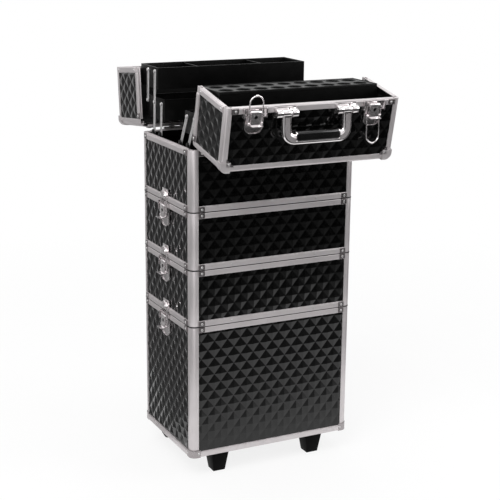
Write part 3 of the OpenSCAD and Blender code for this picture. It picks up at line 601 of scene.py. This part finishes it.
def lining(name, first, second, open_sides, body, move):
    """Moulded liner inside a box, with round corners; open_sides are the directions left open."""
    bm = bmesh.new()
    add_block(bm, first, second)
    bm.normal_update()
    gone = [f for f in bm.faces if any(f.normal.dot(side) > FACING for side in open_sides)]
    bmesh.ops.delete(bm, geom=gone, context="FACES")
    inner = [e for e in bm.edges if len(e.link_faces) == 2]
    bmesh.ops.bevel(bm, geom=inner, offset=LINING_R, segments=LINING_STEPS, profile=0.5, affect="EDGES")
    bmesh.ops.reverse_faces(bm, faces=bm.faces)
    bm.transform(move)
    thicken(piece(name, bm, body, "tray", LINING), LINING_T, offset=1)


def wall(bm, outline, low_z, high_z):
    """An upright wall on an outline in a mesh; returns its lower and its upper points."""
    low = [bm.verts.new((x, y, low_z)) for x, y in outline]
    high = [bm.verts.new((x, y, high_z)) for x, y in outline]
    for k in range(len(outline)):
        after = (k + 1) % len(outline)
        bm.faces.new((low[k], low[after], high[after], high[k]))
    return low, high


def round_outline(half_x, half_y, radius):
    """A rectangle with round corners about the middle of the boxes."""
    outline = []
    for k, (sx, sy) in enumerate(((1, 1), (-1, 1), (-1, -1), (1, -1))):
        for step in range(CORNER_STEPS + 1):
            angle = math.pi / 2 * (k + step / CORNER_STEPS)
            outline.append((sx * (half_x - radius) + radius * math.cos(angle),
                            mid_y + sy * (half_y - radius) + radius * math.sin(angle)))
    return outline


# levels of the boxes, from the frame

case_low, case_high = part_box("bottom_case_panels")
mid_y = (case_low.y + case_high.y) / 2
half_w, half_d = case_high.x + SKIN_T, (case_high.y - case_low.y) / 2 + SKIN_T
seams = [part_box(f"{label}_frame")[1].z - TONGUE_H for label in BOXES]
hinge_cuts = widths("front_lid_hinge_leaves")


# boxes

def box_sheets(label):
    """Embossed sheets on the four walls of a box."""
    frame_low, frame_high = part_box(f"{label}_frame")
    z, tall = middle(frame_low.z + RIM_H, frame_high.z - TONGUE_H - RIM_H)
    wide, deep = 2 * (half_w - POST_LEG), 2 * (half_d - POST_LEG)
    face_sheets(label, (
        ("front", (0, case_low.y, z), X, Z, wide, tall),
        ("rear", (0, case_high.y, z), -X, Z, wide, tall),
        ("left", (case_low.x, mid_y, z), -Y, Z, deep, tall),
        ("right", (case_high.x, mid_y, z), Y, Z, deep, tall),
    ), "stack", STILL)


def latch_cut(node):
    """Where a plate of the side latches lies on a rim, from the middle of the boxes."""
    low, high = solid_boxes(node)[0]
    return low.y - mid_y, high.y - mid_y


def rim_levels():
    """The lower level of each rim, with the cuts in its bars along the width and along the depth."""
    base, strike = latch_cut("side_latch_bases"), latch_cut("side_latch_strikes")
    levels = []
    for seam in seams[:-1]:
        levels.append((seam - RIM_H, [], [base]))
        levels.append((seam, [], [strike]))
    levels.append((seams[-1] - RIM_H, hinge_cuts, []))
    return levels


def rim_blocks(z, rise, across, along):
    """Blocks on the four sides of a rim, over stretches of its width and of its depth."""
    low_z, high_z = z + BAR_EDGE, z + RIM_H - BAR_EDGE
    blocks = []
    for s in SIDES:
        low_x, high_x = s * (half_w - BAR_SINK), s * (half_w + rise)
        low_y, high_y = mid_y + s * (half_d - BAR_SINK), mid_y + s * (half_d + rise)
        blocks += [((start, low_y, low_z), (stop, high_y, high_z)) for start, stop in across]
        blocks += [((low_x, mid_y + start, low_z), (high_x, mid_y + stop, high_z)) for start, stop in along]
    return blocks


def ear_spans(half):
    """The stretches of the brackets between a bar and its two posts."""
    return [(s * (half - POST_LEG - BRACKET_W), s * (half - POST_LEG)) for s in SIDES]


def corner_heads(z, inset, rise):
    """Places of rivets on both sides of the four corners, so far in from them and out from the walls."""
    heads = []
    for sy in SIDES:
        for sx in SIDES:
            heads.append(((sx * (half_w - inset), mid_y + sy * (half_d + rise), z), Y * sy))
            heads.append(((sx * (half_w + rise), mid_y + sy * (half_d - inset), z), X * sx))
    return heads


def box_rims():
    """Round bars, brackets and rivets on all rims of the boxes."""
    bottom_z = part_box("bottom_case_frame")[0].z
    blocks = rim_blocks(bottom_z, BAR_RISE, spans(half_w - CAP_LEG, []), spans(half_d - CAP_LEG, []))
    heads = corner_heads(bottom_z + CAP_H / 2, CAP_RIVET, CAP_T)
    ears = []
    bar_w, bar_d = (half - POST_LEG - BRACKET_W for half in (half_w, half_d))
    for z, width_cuts, depth_cuts in rim_levels():
        blocks += rim_blocks(z, BAR_RISE, spans(bar_w, width_cuts), spans(bar_d, depth_cuts))
        ears += rim_blocks(z, EAR_RISE, ear_spans(half_w), ear_spans(half_d))
        heads += corner_heads(z + RIM_H / 2, POST_LEG + BRACKET_W / 2, EAR_RISE)
    for seam in seams[:-1]:
        for sy in SIDES:
            y = mid_y + sy * (half_d + BAR_RISE)
            heads += [((sx * BAR_RIVET_X, y, seam + RIM_H / 2), Y * sy) for sx in SIDES]
    bars("box_bars", blocks, "stack", "frame")
    bars("box_ears", ears, "stack", "bracket", round_edge=EAR_ROUND)
    rivet_heads("box_rivets", heads, "stack", "hinge")


def seam_shade_strips():
    """Dark strips in the seams, round the posts: painted shade for the shadowed gap between the boxes."""
    outline = round_outline(half_w + SEAM_SHADE_RISE, half_d + SEAM_SHADE_RISE, POST_R + SEAM_SHADE_RISE)
    bm = bmesh.new()
    for seam in seams[:-1]:
        wall(bm, outline, seam - SEAM_SHADE_HALF, seam + SEAM_SHADE_HALF)
    # black strips painted as the shade in the seam gaps
    thicken(piece("seam_shade_strips", bm, "stack", "tray"), SEAM_SHADE_RISE)


def floor_pad():
    """Flocked board with a pressed border on the floor of the top box."""
    floor_z = shell_tree("top_case_panels").ray_cast(Vector((0, mid_y, seams[-1])), -Z)[0].z
    inset = SKIN_T + PANEL_T + PAD_EDGE
    outline = round_outline(half_w - inset, half_d - inset, PAD_R)
    bm = bmesh.new()
    under, over = wall(bm, outline, floor_z, floor_z + PAD_T)
    bm.faces.new(list(reversed(under)))
    top = bm.faces.new(over)
    bm.normal_update()
    bmesh.ops.inset_region(bm, faces=[top], thickness=PAD_BORDER, depth=0)
    bmesh.ops.inset_region(bm, faces=[top], thickness=PAD_T, depth=-PAD_PRESS)
    soften(piece("top_case_floor_pad", bm, "stack", "tray", LINING), PAD_ROUND)


def top_case_trims():
    """Dark trims on the inner faces of the top box's rim."""
    rim = shell_tree("top_case_frame")
    rim_mid = Vector((0, mid_y, seams[-1] - RIM_H / 2))
    rim_x = rim.ray_cast(rim_mid, X)[0].x
    side_half = half_d - PANEL_T
    low_z, high_z = seams[-1] - RIM_H, seams[-1] - TRIM_EDGE
    trims = []
    for s in SIDES:
        rim_y = rim.ray_cast(rim_mid, Y * s)[0].y
        trims.append(((-rim_x, rim_y, low_z), (rim_x, rim_y - s * TRIM_T, high_z)))
        trims.append(((s * rim_x, mid_y - side_half, low_z),
                      (s * (rim_x - TRIM_T), mid_y + side_half, high_z)))
    bars("top_case_trims", trims, "stack", "tray", round_edge=TRIM_ROUND)


# lid halves

class Lid:
    """A lid half as it lies closed, with the move that opens it and the levels that its pieces follow."""

    def __init__(self, body, end, fittings):
        hinge = joints[f"{body}_hinge"]
        self.body = body
        self.end = end
        self.cuts = [cut for node in fittings for cut in widths(node)]
        self.move = opening_move(hinge)
        self.low, self.high = corners(points_under(f"{body}_panels", self.move))
        self.axis_z = hinge["pos_m"][2]
        self.rim = self.axis_z + LID_GAP / 2
        self.top = self.high.z + SKIN_T
        self.sheet_z, self.sheet_h = middle(self.rim + RIM_H, self.top - EDGE_LEG)
        self.side_y, self.side_len = middle(self.from_free(RIM_H), self.from_wall(POST_LEG))
        self.top_y, self.top_len = middle(self.from_free(RIM_H), self.from_wall(EDGE_LEG))
        self.bar_low, self.bar_high = self.rim + BAR_EDGE, self.rim + RIM_H - BAR_EDGE
        self.split_low, self.split_high = self.from_free(BAR_EDGE), self.from_free(RIM_H - BAR_EDGE)
        self.ear_x, self.ear_y = half_w - POST_LEG - BRACKET_W, self.from_wall(POST_LEG + BRACKET_W)
        self.top_x = half_w - EDGE_LEG - BRACKET_W

    def from_free(self, inset):
        """The level so far inside the free edge."""
        return mid_y + self.end * (LID_SPLIT + inset)

    def from_wall(self, inset):
        """The level so far inside the outer wall."""
        return mid_y + self.end * (half_d - inset)


def lid_sheets(lid):
    """Embossed sheets on the wall, the sides and the top of a lid half."""
    z, tall, outward = lid.sheet_z, lid.sheet_h, X * -lid.end
    face_sheets(lid.body, (
        ("wall", (0, lid.from_wall(SKIN_T), z), outward, Z, 2 * (half_w - POST_LEG), tall),
        ("left", (lid.low.x, lid.side_y, z), -Y, Z, lid.side_len, tall),
        ("right", (lid.high.x, lid.side_y, z), Y, Z, lid.side_len, tall),
        ("top", (0, lid.top_y, lid.high.z), outward, Y * -lid.end, 2 * (half_w - EDGE_LEG), lid.top_len),
    ), lid.body, lid.move)


def lid_hinge_screws(lid):
    """Screws on the hinge leaves of a lid half and on those of the box below it."""
    y, out = lid.from_wall(-LEAF_T), Y * lid.end
    places = [(low + high) / 2 + k * LEAF_SCREW_X for low, high in hinge_cuts for k in (-1, 0, 1)]
    on_lid = [((x, y, lid.axis_z + LEAF_SCREW_Z), out) for x in places]
    on_box = [((x, y, lid.axis_z - LEAF_SCREW_Z), out) for x in places]
    screws(f"{lid.body}_hinge_screws", moved(on_lid, lid.move), lid.body)
    screws(f"{lid.body}_case_hinge_screws", on_box, "stack")


def lid_bars(lid):
    """Round bars on the rims of a lid half: along the wall, the free edge and the sides."""
    wall_low, wall_high = lid.from_wall(BAR_SINK), lid.from_wall(-BAR_RISE)
    top_low, top_high = lid.top - BAR_SINK, lid.top + BAR_RISE
    blocks = []
    for start, stop in spans(lid.ear_x, hinge_cuts):
        blocks.append(((start, wall_low, lid.bar_low), (stop, wall_high, lid.bar_high)))
    for start, stop in spans(lid.top_x, lid.cuts):
        blocks.append(((start, lid.split_low, top_low), (stop, lid.split_high, top_high)))
    for sx in SIDES:
        low_x, high_x = sx * (half_w - BAR_SINK), sx * (half_w + BAR_RISE)
        blocks.append(((low_x, lid.from_free(RIM_H), lid.bar_low), (high_x, lid.ear_y, lid.bar_high)))
        blocks.append(((low_x, lid.split_low, lid.bar_high), (high_x, lid.split_high, lid.top - EDGE_LEG)))
    bars(f"{lid.body}_bars", blocks, lid.body, "frame", lid.move)


def lid_ears(lid):
    """Brackets at the ends of a lid half's bars."""
    wall_low, wall_high = lid.from_wall(BAR_SINK), lid.from_wall(-EAR_RISE)
    top_low, top_high = lid.top - BAR_SINK, lid.top + EAR_RISE
    ears = []
    for sx in SIDES:
        low_x, high_x = sx * (half_w - BAR_SINK), sx * (half_w + EAR_RISE)
        post_x, cap_x = sx * (half_w - POST_LEG), sx * (half_w - EDGE_LEG + GUSSET_LAP)
        ears += [
            ((sx * lid.ear_x, wall_low, lid.bar_low), (post_x, wall_high, lid.bar_high)),
            ((low_x, lid.ear_y, lid.bar_low), (high_x, lid.from_wall(POST_LEG), lid.bar_high)),
            ((sx * lid.top_x, lid.split_low, top_low), (cap_x, lid.split_high, top_high)),
        ]
    bars(f"{lid.body}_ears", ears, lid.body, "bracket", lid.move, EAR_ROUND)


def lid_gussets(lid):
    """Three-cornered plates in the outer corners of a lid half's top."""
    bm = bmesh.new()
    for sx in SIDES:
        near_x, far_x = (sx * (half_w - EDGE_LEG - k) for k in (-GUSSET_LAP, GUSSET_LEG))
        near_y, far_y = (lid.from_wall(EDGE_LEG + k) for k in (-GUSSET_LAP, GUSSET_LEG))
        outline = ((near_x, near_y), (far_x, near_y), (near_x, far_y))
        for end in wall(bm, outline, lid.top - BAR_SINK, lid.top + CAP_T):
            bm.faces.new(end)
    bmesh.ops.recalc_face_normals(bm, faces=bm.faces)
    bm.transform(lid.move)
    soften(piece(f"{lid.body}_gussets", bm, lid.body, "bracket"), GUSSET_ROUND)


def lid_rivets(lid):
    """Rivets on the brackets, the side bars and the gussets of a lid half."""
    rim_mid, split_mid = lid.rim + RIM_H / 2, lid.from_free(RIM_H / 2)
    gusset = EDGE_LEG + GUSSET_RIVET
    heads = []
    for sx in SIDES:
        bar_x, ear_x = sx * (half_w + BAR_RISE), sx * (half_w + EAR_RISE)
        heads += [
            ((sx * (lid.ear_x + BRACKET_W / 2), lid.from_wall(-EAR_RISE), rim_mid), Y * lid.end),
            ((ear_x, lid.ear_y + lid.end * BRACKET_W / 2, rim_mid), X * sx),
            ((sx * (lid.top_x + BRACKET_W / 2), split_mid, lid.top + EAR_RISE), Z),
            ((bar_x, split_mid, lid.bar_high + RIM_H / 2), X * sx),
            ((bar_x, split_mid, lid.top - EDGE_LEG - RIM_H / 2), X * sx),
            ((sx * (half_w - gusset), lid.from_wall(gusset), lid.top + CAP_T), Z),
        ]
    rivet_heads(f"{lid.body}_rivets", moved(heads, lid.move), lid.body, "hinge")


def lid_trims(lid):
    """Dark trims on the inner faces of a lid half's rims, and a dark strip of painted shade over its rim's edge
    and the groove in it, which lie in shadow.
    """
    inside = shell_tree(f"{lid.body}_frame", lid.move)
    rim_at = Vector((0, lid.side_y, lid.rim + RIM_H / 2))
    split_at = Vector((0, lid.from_free(RIM_H / 2), lid.sheet_z))
    rim_x, split_x = (inside.ray_cast(at, X)[0].x for at in (rim_at, split_at))
    rim_y, split_z = inside.ray_cast(rim_at, Y * lid.end)[0].y, inside.ray_cast(split_at, Z)[0].z
    edge_y, free_in, rim_top = lid.from_free(TRIM_EDGE), lid.from_free(RIM_H), lid.rim + RIM_H
    # the strip on the rim's edge is painted shade: black where the edge and its groove lie in shadow
    rim_shade_low, rim_shade_high, rim_shade_end = lid.rim - RIM_SHADE_T, lid.rim + RIM_SHADE_T, half_w - POST_R
    trims = [
        ((-rim_x, rim_y, lid.rim + TRIM_EDGE), (rim_x, rim_y - lid.end * TRIM_T, rim_top)),
        ((-split_x, edge_y, split_z), (split_x, free_in, split_z - TRIM_T)),
        ((-rim_shade_end, rim_y, rim_shade_low), (rim_shade_end, lid.from_wall(RIM_SHADE_EDGE), rim_shade_high)),
    ]
    for sx in SIDES:
        rim_shade_x = sx * (half_w - RIM_SHADE_EDGE)
        trims.append(((sx * split_x, edge_y, rim_top), (sx * (split_x - TRIM_T), free_in, split_z)))
        trims.append(((sx * rim_x, edge_y, rim_shade_low), (rim_shade_x, lid.from_wall(POST_R), rim_shade_high)))
    bars(f"{lid.body}_trims", trims, lid.body, "tray", lid.move, TRIM_ROUND)


def lid_lining(lid):
    """Flocked liner inside a lid half, open to the boxes and at the free edge."""
    inset = PANEL_T + 2 * LINING_T
    inner_x, inner_top = lid.high.x - inset, lid.high.z - inset
    lining(f"{lid.body}_lining", (-inner_x, lid.from_free(RIM_H), lid.rim + RIM_H),
           (inner_x, lid.from_wall(SKIN_T + inset), inner_top), (-Z, Y * -lid.end), lid.body, lid.move)


# pull handle

def collar_screws():
    """Screws on the collars of the rails."""
    heads = []
    for low, high in solid_boxes("trolley_rails"):
        for x in (low.x + COLLAR_SCREW, high.x - COLLAR_SCREW):
            for z in (low.z + COLLAR_H / 2, high.z - COLLAR_H / 2):
                heads.append(((x, high.y, z), Y))
    screws("trolley_collar_screws", heads, "stack")


def grip_ribs():
    """Upright ribs on the rear face of the pull grip."""
    low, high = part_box("trolley_grip")
    count = int((high.x - 2 * GRIP_RIB_PITCH) / GRIP_RIB_PITCH)
    ribs = []
    for k in range(-count, count + 1):
        x = k * GRIP_RIB_PITCH
        ribs.append(((x - GRIP_RIB_W / 2, high.y - BAR_SINK, low.z + GRIP_RIB_END),
                     (x + GRIP_RIB_W / 2, high.y + GRIP_RIB_H, high.z - GRIP_RIB_END)))
    bars("trolley_grip_ribs", ribs, "trolley", "grip", round_edge=GRIP_RIB_ROUND)


# draw latches

def latch_details(joint, carrier):
    """Lock barrel behind a lever's keyhole, made black as painted shade seen through the keyhole, a ring round the
    keyhole, and screws on the latch's base.
    """
    lever = joint["child"]
    if carrier == "stack":
        up, out = Z, X * (1 if joint["pos_m"][0] > 0 else -1)
    else:
        turn = opening_move(joints["front_lid_hinge"]).to_3x3()
        up, out = turn @ Y, turn @ Z
    across = up.cross(out)
    origin = Vector(joint["pos_m"]) - up * LATCH_AXIS_V - out * LATCH_AXIS_H
    lock = origin + up * KEYHOLE_V + out * BARREL_FOOT
    face = origin + up * KEYHOLE_TOP + out * LEVER_H
    foot = origin + up * BASE_SCREW_V + out * SHEET_T
    # the black barrel is partly the real lock and partly painted shade inside the keyhole
    rivet_heads(f"{lever}_barrel", [(lock, out)], lever, "tray", BARREL_R, BARREL_H)
    rings(f"{lever}_keyhole_ring", [(face, out)], KEYHOLE_R, KEYHOLE_RING, KEYHOLE_RISE, lever, "tray")
    screws(f"{lever}_base_screws", [(foot + across * (s * BASE_SCREW_U), out) for s in SIDES], carrier)


def bail_nub(joint):
    """Weld nub at the middle of a bail's far end: a turned barrel with flat ends."""
    body = joint["child"]
    at, axis = Vector(joint["pos_m"]), Vector(joint["axis"]).normalized()
    arms = [v.co - at for v in nodes[body].data.vertices]
    away = [(arm - axis * arm.dot(axis)).length for arm in arms]
    crest = [arm for arm, far in zip(arms, away) if far > max(away) - END_SLACK]
    crest = sum(crest, Vector()) / len(crest)
    line = (crest - axis * crest.dot(axis)).normalized()
    profile = [(NUB_R * share, NUB_HALF * height) for share, height in NUB_PROFILE]
    place = (at + crest - line * (WIRE_R - NUB_OUT), axis)
    turned_forms(f"{body}_nub", [place], profile, NUB_STEPS, body, "chrome", material=LATCH_CHROME)


def latch_levers():
    """Details of all levers."""
    for name, joint in joints.items():
        if name.endswith("_lever_pivot"):
            latch_details(joint, "front_lid" if "_lid_" in name else "stack")


def latch_bails():
    """Weld nubs of all bails."""
    for name, joint in joints.items():
        if "_bail_" in name:
            bail_nub(joint)


# trays

def tray_ribs(tray, half):
    """Upright ribs on the long inner walls of a tray."""
    low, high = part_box(tray)
    foot_z, head_z = high.z - TRAY_H + TRAY_T + RIB_END, high.z - RIB_END
    count = int((half - RIB_PITCH) / RIB_PITCH)
    ribs = []
    for k in range(-count, count + 1):
        start, stop = k * RIB_PITCH - RIB_W / 2, k * RIB_PITCH + RIB_W / 2
        for wall, inward in ((low.y + TRAY_T, RIB_T), (high.y - TRAY_T, -RIB_T)):
            ribs.append(((start, wall, foot_z), (stop, wall + inward, head_z)))
    bars(f"{tray}_ribs", ribs, tray, "tray", round_edge=RIB_ROUND)


def arm_rivets(tray):
    """Plated caps on the rivets that hold a tray to its arms."""
    heads = [(Vector((s * at.x, at.y, at.z)), X * s) for at in rivet_ends(tray) for s in SIDES]
    rivet_heads(f"{tray}_arm_rivets", heads, tray, "arm", ARM_RIVET_R, ARM_RIVET_H)


def holder_details(low, high):
    """Collars round the bottle holes and a lip round the plate."""
    mid = (low.y + high.y) / 2
    columns = [(k - (HOLE_COUNT - 1) / 2) * HOLE_PITCH for k in range(HOLE_COUNT)]
    holes = [((x, mid + row * HOLE_ROW, high.z), Z) for x in columns for row in SIDES]
    rings("holder_collars", holes, HOLE_R, RING_W, RING_H, "front_upper_tray", "holder")
    foot_z, head_z = high.z - BAR_SINK, high.z + LIP_H
    lips = []
    for s, edge in ((-1, low.y), (1, high.y)):
        lips.append(((-high.x, edge, foot_z), (high.x, edge - s * LIP_W, head_z)))
        lips.append(((s * high.x, low.y + LIP_W, foot_z), (s * (high.x - LIP_W), high.y - LIP_W, head_z)))
    bars("holder_lip", lips, "front_upper_tray", "holder", round_edge=LIP_ROUND)


def trays():
    """Details of all trays."""
    holder_low, holder_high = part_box("bottle_holder")
    for tray in ("front_lower_tray", "rear_lower_tray", "rear_upper_tray"):
        tray_ribs(tray, holder_high.x)
    for tray in ("front_lower_tray", "front_upper_tray", "rear_lower_tray", "rear_upper_tray"):
        arm_rivets(tray)
    holder_details(holder_low, holder_high)


# carry handle

def handle_path():
    """Points of the handle's middle line from the left arm to the right, each with its outward direction."""
    bend_x, bend_y = HANDLE_X - HANDLE_BEND, HANDLE_BEND - HANDLE_DROP
    path = [(Vector((-HANDLE_X, -HANDLE_TOP, 0)), -X)]
    for sx, start in ((-1, math.pi), (1, 1.5 * math.pi)):
        for k in range(BEND_STEPS + 1):
            angle = start + math.pi / 2 * k / BEND_STEPS
            out = Vector((math.cos(angle), math.sin(angle), 0))
            path.append((Vector((sx * bend_x, bend_y, 0)) + out * HANDLE_BEND, out))
    path.append((Vector((HANDLE_X, -HANDLE_TOP, 0)), X))
    return path


def handle_faces():
    """Convex faces on the front and the rear of the carry handle's flat bar."""
    bm = bmesh.new()
    for side in SIDES:
        last = None
        for at, out in handle_path():
            row = []
            for k in range(FACE_STEPS + 1):
                u = FACE_HALF * (2 * k / FACE_STEPS - 1)
                rise = FACE_AXES[1] * math.sqrt(1 - (u / FACE_AXES[0]) ** 2)
                row.append(bm.verts.new(at + out * u + Z * (side * rise)))
            if last:
                for k in range(FACE_STEPS):
                    bm.faces.new((last[k], row[k], row[k + 1], last[k + 1]))
            last = row
    bmesh.ops.recalc_face_normals(bm, faces=bm.faces)
    for face in bm.faces:
        face.smooth = True
    at = Matrix.Translation(joints["carry_handle_swing"]["pos_m"])
    bm.transform(at @ Matrix((X, Z, -Y)).transposed().to_4x4())
    piece("carry_handle_faces", bm, "carry_handle", "chrome")


# the dressed case

finish_solids()
for label in BOXES:
    box_sheets(label)
for lid_half in (Lid("front_lid", -1, ("lid_latch_bases", "handle_brackets")),
                 Lid("rear_lid", 1, ("lid_latch_strikes",))):
    lid_sheets(lid_half)
    lid_hinge_screws(lid_half)
    lid_bars(lid_half)
    lid_ears(lid_half)
    lid_gussets(lid_half)
    lid_rivets(lid_half)
    lid_trims(lid_half)
    lid_lining(lid_half)
box_rims()
seam_shade_strips()
floor_pad()
top_case_trims()
collar_screws()
grip_ribs()
latch_levers()
trays()
handle_faces()
latch_bails()


# studio

CAMERA_AT = Vector((-1.080, -2.173, 1.067))
CAMERA_YAW, CAMERA_PITCH, CAMERA_ROLL = (math.radians(a) for a in (26.52, -14.88, 0.54))
LENS_MM = 89.65
LAMP_TARGET = Vector((0, 0, 0.4))
# each soft box: its name, place, side in metres and power in watts
LAMPS = (
    ("key_box", (-1.6, -1.4, 2.6), 1.6, 55),
    ("fill_box", (2.2, -1.6, 1.6), 1.6, 25),
    ("top_box", (0.2, 0.3, 3.0), 2.0, 24),
)
FLOOR_HALF = 30.0
FLOOR_WHITE = 0.84
FADE_START, FADE_END = 0.6, 1.9
AMBIENT = 0.5

# cards that mirrors see: their height, distances and spans, and their tones from foot to head
CARD_H = 0.8
CARD_NEAR, CARD_FAR = 0.45, 1.15
FRONT_SPAN = (-0.35, 1.4)
REAR_SPAN = (1.2, -0.1)
RIGHT_SPAN = (-1.2, 1.2)
LEFT_SPAN = (0.25, -1.2)
BACK_NEAR, BACK_FAR = mid_y + 0.1, mid_y + 1.3
BACK_START, BACK_SPLIT, BACK_END = case_low.x - 0.03, -0.42, -1.6
DARK_TONES = ((0, 0.95), (0.05, 0.34), (0.1, 0.2), (0.175, 0.12), (0.33, 0.1), (0.42, 0.03), (0.6, 0.01))
SOFT_TONES = ((0, 0.2), (0.5, 0.24), (1, 0.2))
PALE_TONES = ((0, 0.26), (0.35, 0.3), (0.6, 0.45), (1, 0.6))


def place_camera():
    """The camera at the photograph's angle."""
    level = Vector((math.sin(CAMERA_YAW), math.cos(CAMERA_YAW), 0))
    look = level * math.cos(CAMERA_PITCH) + Z * math.sin(CAMERA_PITCH)
    flat_right = level.cross(Z)
    right = flat_right * math.cos(CAMERA_ROLL) + flat_right.cross(look) * math.sin(CAMERA_ROLL)
    turn = Matrix((right, right.cross(look), -look)).transposed().to_4x4()
    camera = stand("camera", bpy.data.cameras.new("camera"))
    camera.matrix_world = Matrix.Translation(CAMERA_AT) @ turn
    camera.data.lens = LENS_MM
    bpy.context.scene.camera = camera


def lamp(name, at, size, power):
    """A square soft box that looks at the case."""
    light = bpy.data.lights.new(name, "AREA")
    light.size = size
    light.energy = power
    obj = stand(name, light)
    obj.location = at
    obj.rotation_euler = (LAMP_TARGET - Vector(at)).to_track_quat("-Z", "Y").to_euler()


def plate(name, outline, material):
    """A flat stage piece from its corners."""
    mesh = bpy.data.meshes.new(name)
    mesh.from_pydata(outline, [], [tuple(range(len(outline)))])
    mesh.materials.append(material)
    obj = stand(name, mesh)
    return obj


def joined(tree, operation, first, second):
    """The result of a maths operation on two values, each an output or a plain number."""
    node = tree.nodes.new("ShaderNodeMath")
    node.operation = operation
    for socket, value in zip(node.inputs, (first, second)):
        put(tree, socket, value)
    return node.outputs[0]


def white_to_sight(tree, shader, glow_kind, share):
    """Mixes plain white into a shader for rays of sight, mirror and glass, and returns the mixed shader."""
    rays = tree.nodes.new("ShaderNodeLightPath").outputs
    seen = joined(tree, "MAXIMUM", rays["Is Camera Ray"], rays["Is Glossy Ray"])
    seen = joined(tree, "MAXIMUM", seen, rays["Is Transmission Ray"])
    glow = tree.nodes.new(glow_kind)
    glow.inputs["Color"].default_value = (1, 1, 1, 1)
    glow.inputs["Strength"].default_value = 1.0
    mixed = tree.nodes.new("ShaderNodeMixShader")
    tree.links.new(joined(tree, "MULTIPLY", seen, share), mixed.inputs["Fac"])
    tree.links.new(shader, mixed.inputs[1])
    tree.links.new(glow.outputs[0], mixed.inputs[2])
    return mixed.outputs[0]


def lay_floor():
    """A pale paper floor that keeps shadows and fades to white away from the case."""
    paper = Nodes("floor_paper")
    tone = paper.mix(paper.noise(scale=6), grey(0.88), grey(0.92))
    paper.finish(tone, paper.spread(paper.noise(scale=30), low=0.75, high=0.9))
    away = paper.tree.nodes.new("ShaderNodeVectorMath")
    away.operation = "LENGTH"
    paper.put(away.inputs[0], paper.place)
    fade = paper.spread(away.outputs["Value"], FLOOR_WHITE, 1.0, FADE_START, FADE_END)
    paper.put(paper.surface, white_to_sight(paper.tree, paper.shader.outputs[0], "ShaderNodeEmission", fade))
    outline = [(a * FLOOR_HALF, b * FLOOR_HALF, 0) for a, b in ((-1, -1), (1, -1), (1, 1), (-1, 1))]
    plate("floor", outline, paper.material)


def light_world():
    """A white world that lights softly and is plain white to sight."""
    world = bpy.data.worlds.new("studio")
    bpy.context.scene.world = world
    world.use_nodes = True
    tree = world.node_tree
    sky = tree.nodes["Background"]
    sky.inputs["Color"].default_value = (1, 1, 1, 1)
    sky.inputs["Strength"].default_value = AMBIENT
    mixed = white_to_sight(tree, sky.outputs[0], "ShaderNodeBackground", 1.0)
    tree.links.new(mixed, tree.nodes["World Output"].inputs["Surface"])


def card(name, tones, foot, head):
    """A leaning card, graded from its foot to its head, that only mirrors see: it shades the facets."""
    paper = Nodes(f"{name}_paper")
    paper.tree.nodes.remove(paper.shader)
    height = paper.add("ShaderNodeSeparateXYZ", Vector=paper.place).outputs["Z"]
    ramp = paper.add("ShaderNodeValToRGB", Fac=paper.spread(height, low=0, high=1, start=0, stop=CARD_H))
    stops = ramp.color_ramp.elements
    while len(stops) < len(tones):
        stops.new(0.5)
    for stop, (at, tone) in zip(stops, tones):
        stop.position = at
        stop.color = grey(tone)
    glow = paper.add("ShaderNodeEmission", Color=ramp.outputs["Color"])
    paper.put(paper.surface, glow.outputs["Emission"])
    outline = [(*foot[0], 0), (*foot[1], 0), (*head[1], CARD_H), (*head[0], CARD_H)]
    obj = plate(name, outline, paper.material)
    obj.visible_camera = False
    obj.visible_shadow = False
    obj.visible_diffuse = False


def card_across(name, tones, span, near, far):
    """A card that stands across the depth, over a span of the width, and leans from near to far."""
    card(name, tones, [(x, near) for x in span], [(x, far) for x in span])


def card_along(name, tones, span, near, far):
    """A card that stands along the depth, over a span of it, and leans from near to far."""
    card(name, tones, [(near, y) for y in span], [(far, y) for y in span])


place_camera()
for lamp_row in LAMPS:
    lamp(*lamp_row)
lay_floor()
light_world()
card_across("front_card", DARK_TONES, FRONT_SPAN, case_low.y - CARD_NEAR, case_low.y - CARD_FAR)
card_across("rear_card", DARK_TONES, REAR_SPAN, case_high.y + CARD_NEAR, case_high.y + CARD_FAR)
card_along("right_card", DARK_TONES, RIGHT_SPAN, case_high.x + CARD_NEAR, case_high.x + CARD_FAR)
card_along("left_card", DARK_TONES, LEFT_SPAN, case_low.x - CARD_NEAR, case_low.x - CARD_FAR)
card_across("back_card_near", PALE_TONES, (BACK_START, BACK_SPLIT), BACK_NEAR, BACK_FAR)
card_across("back_card_far", SOFT_TONES, (BACK_SPLIT, BACK_END), BACK_NEAR, BACK_FAR)

bpy.context.scene.view_settings.view_transform = "Standard"
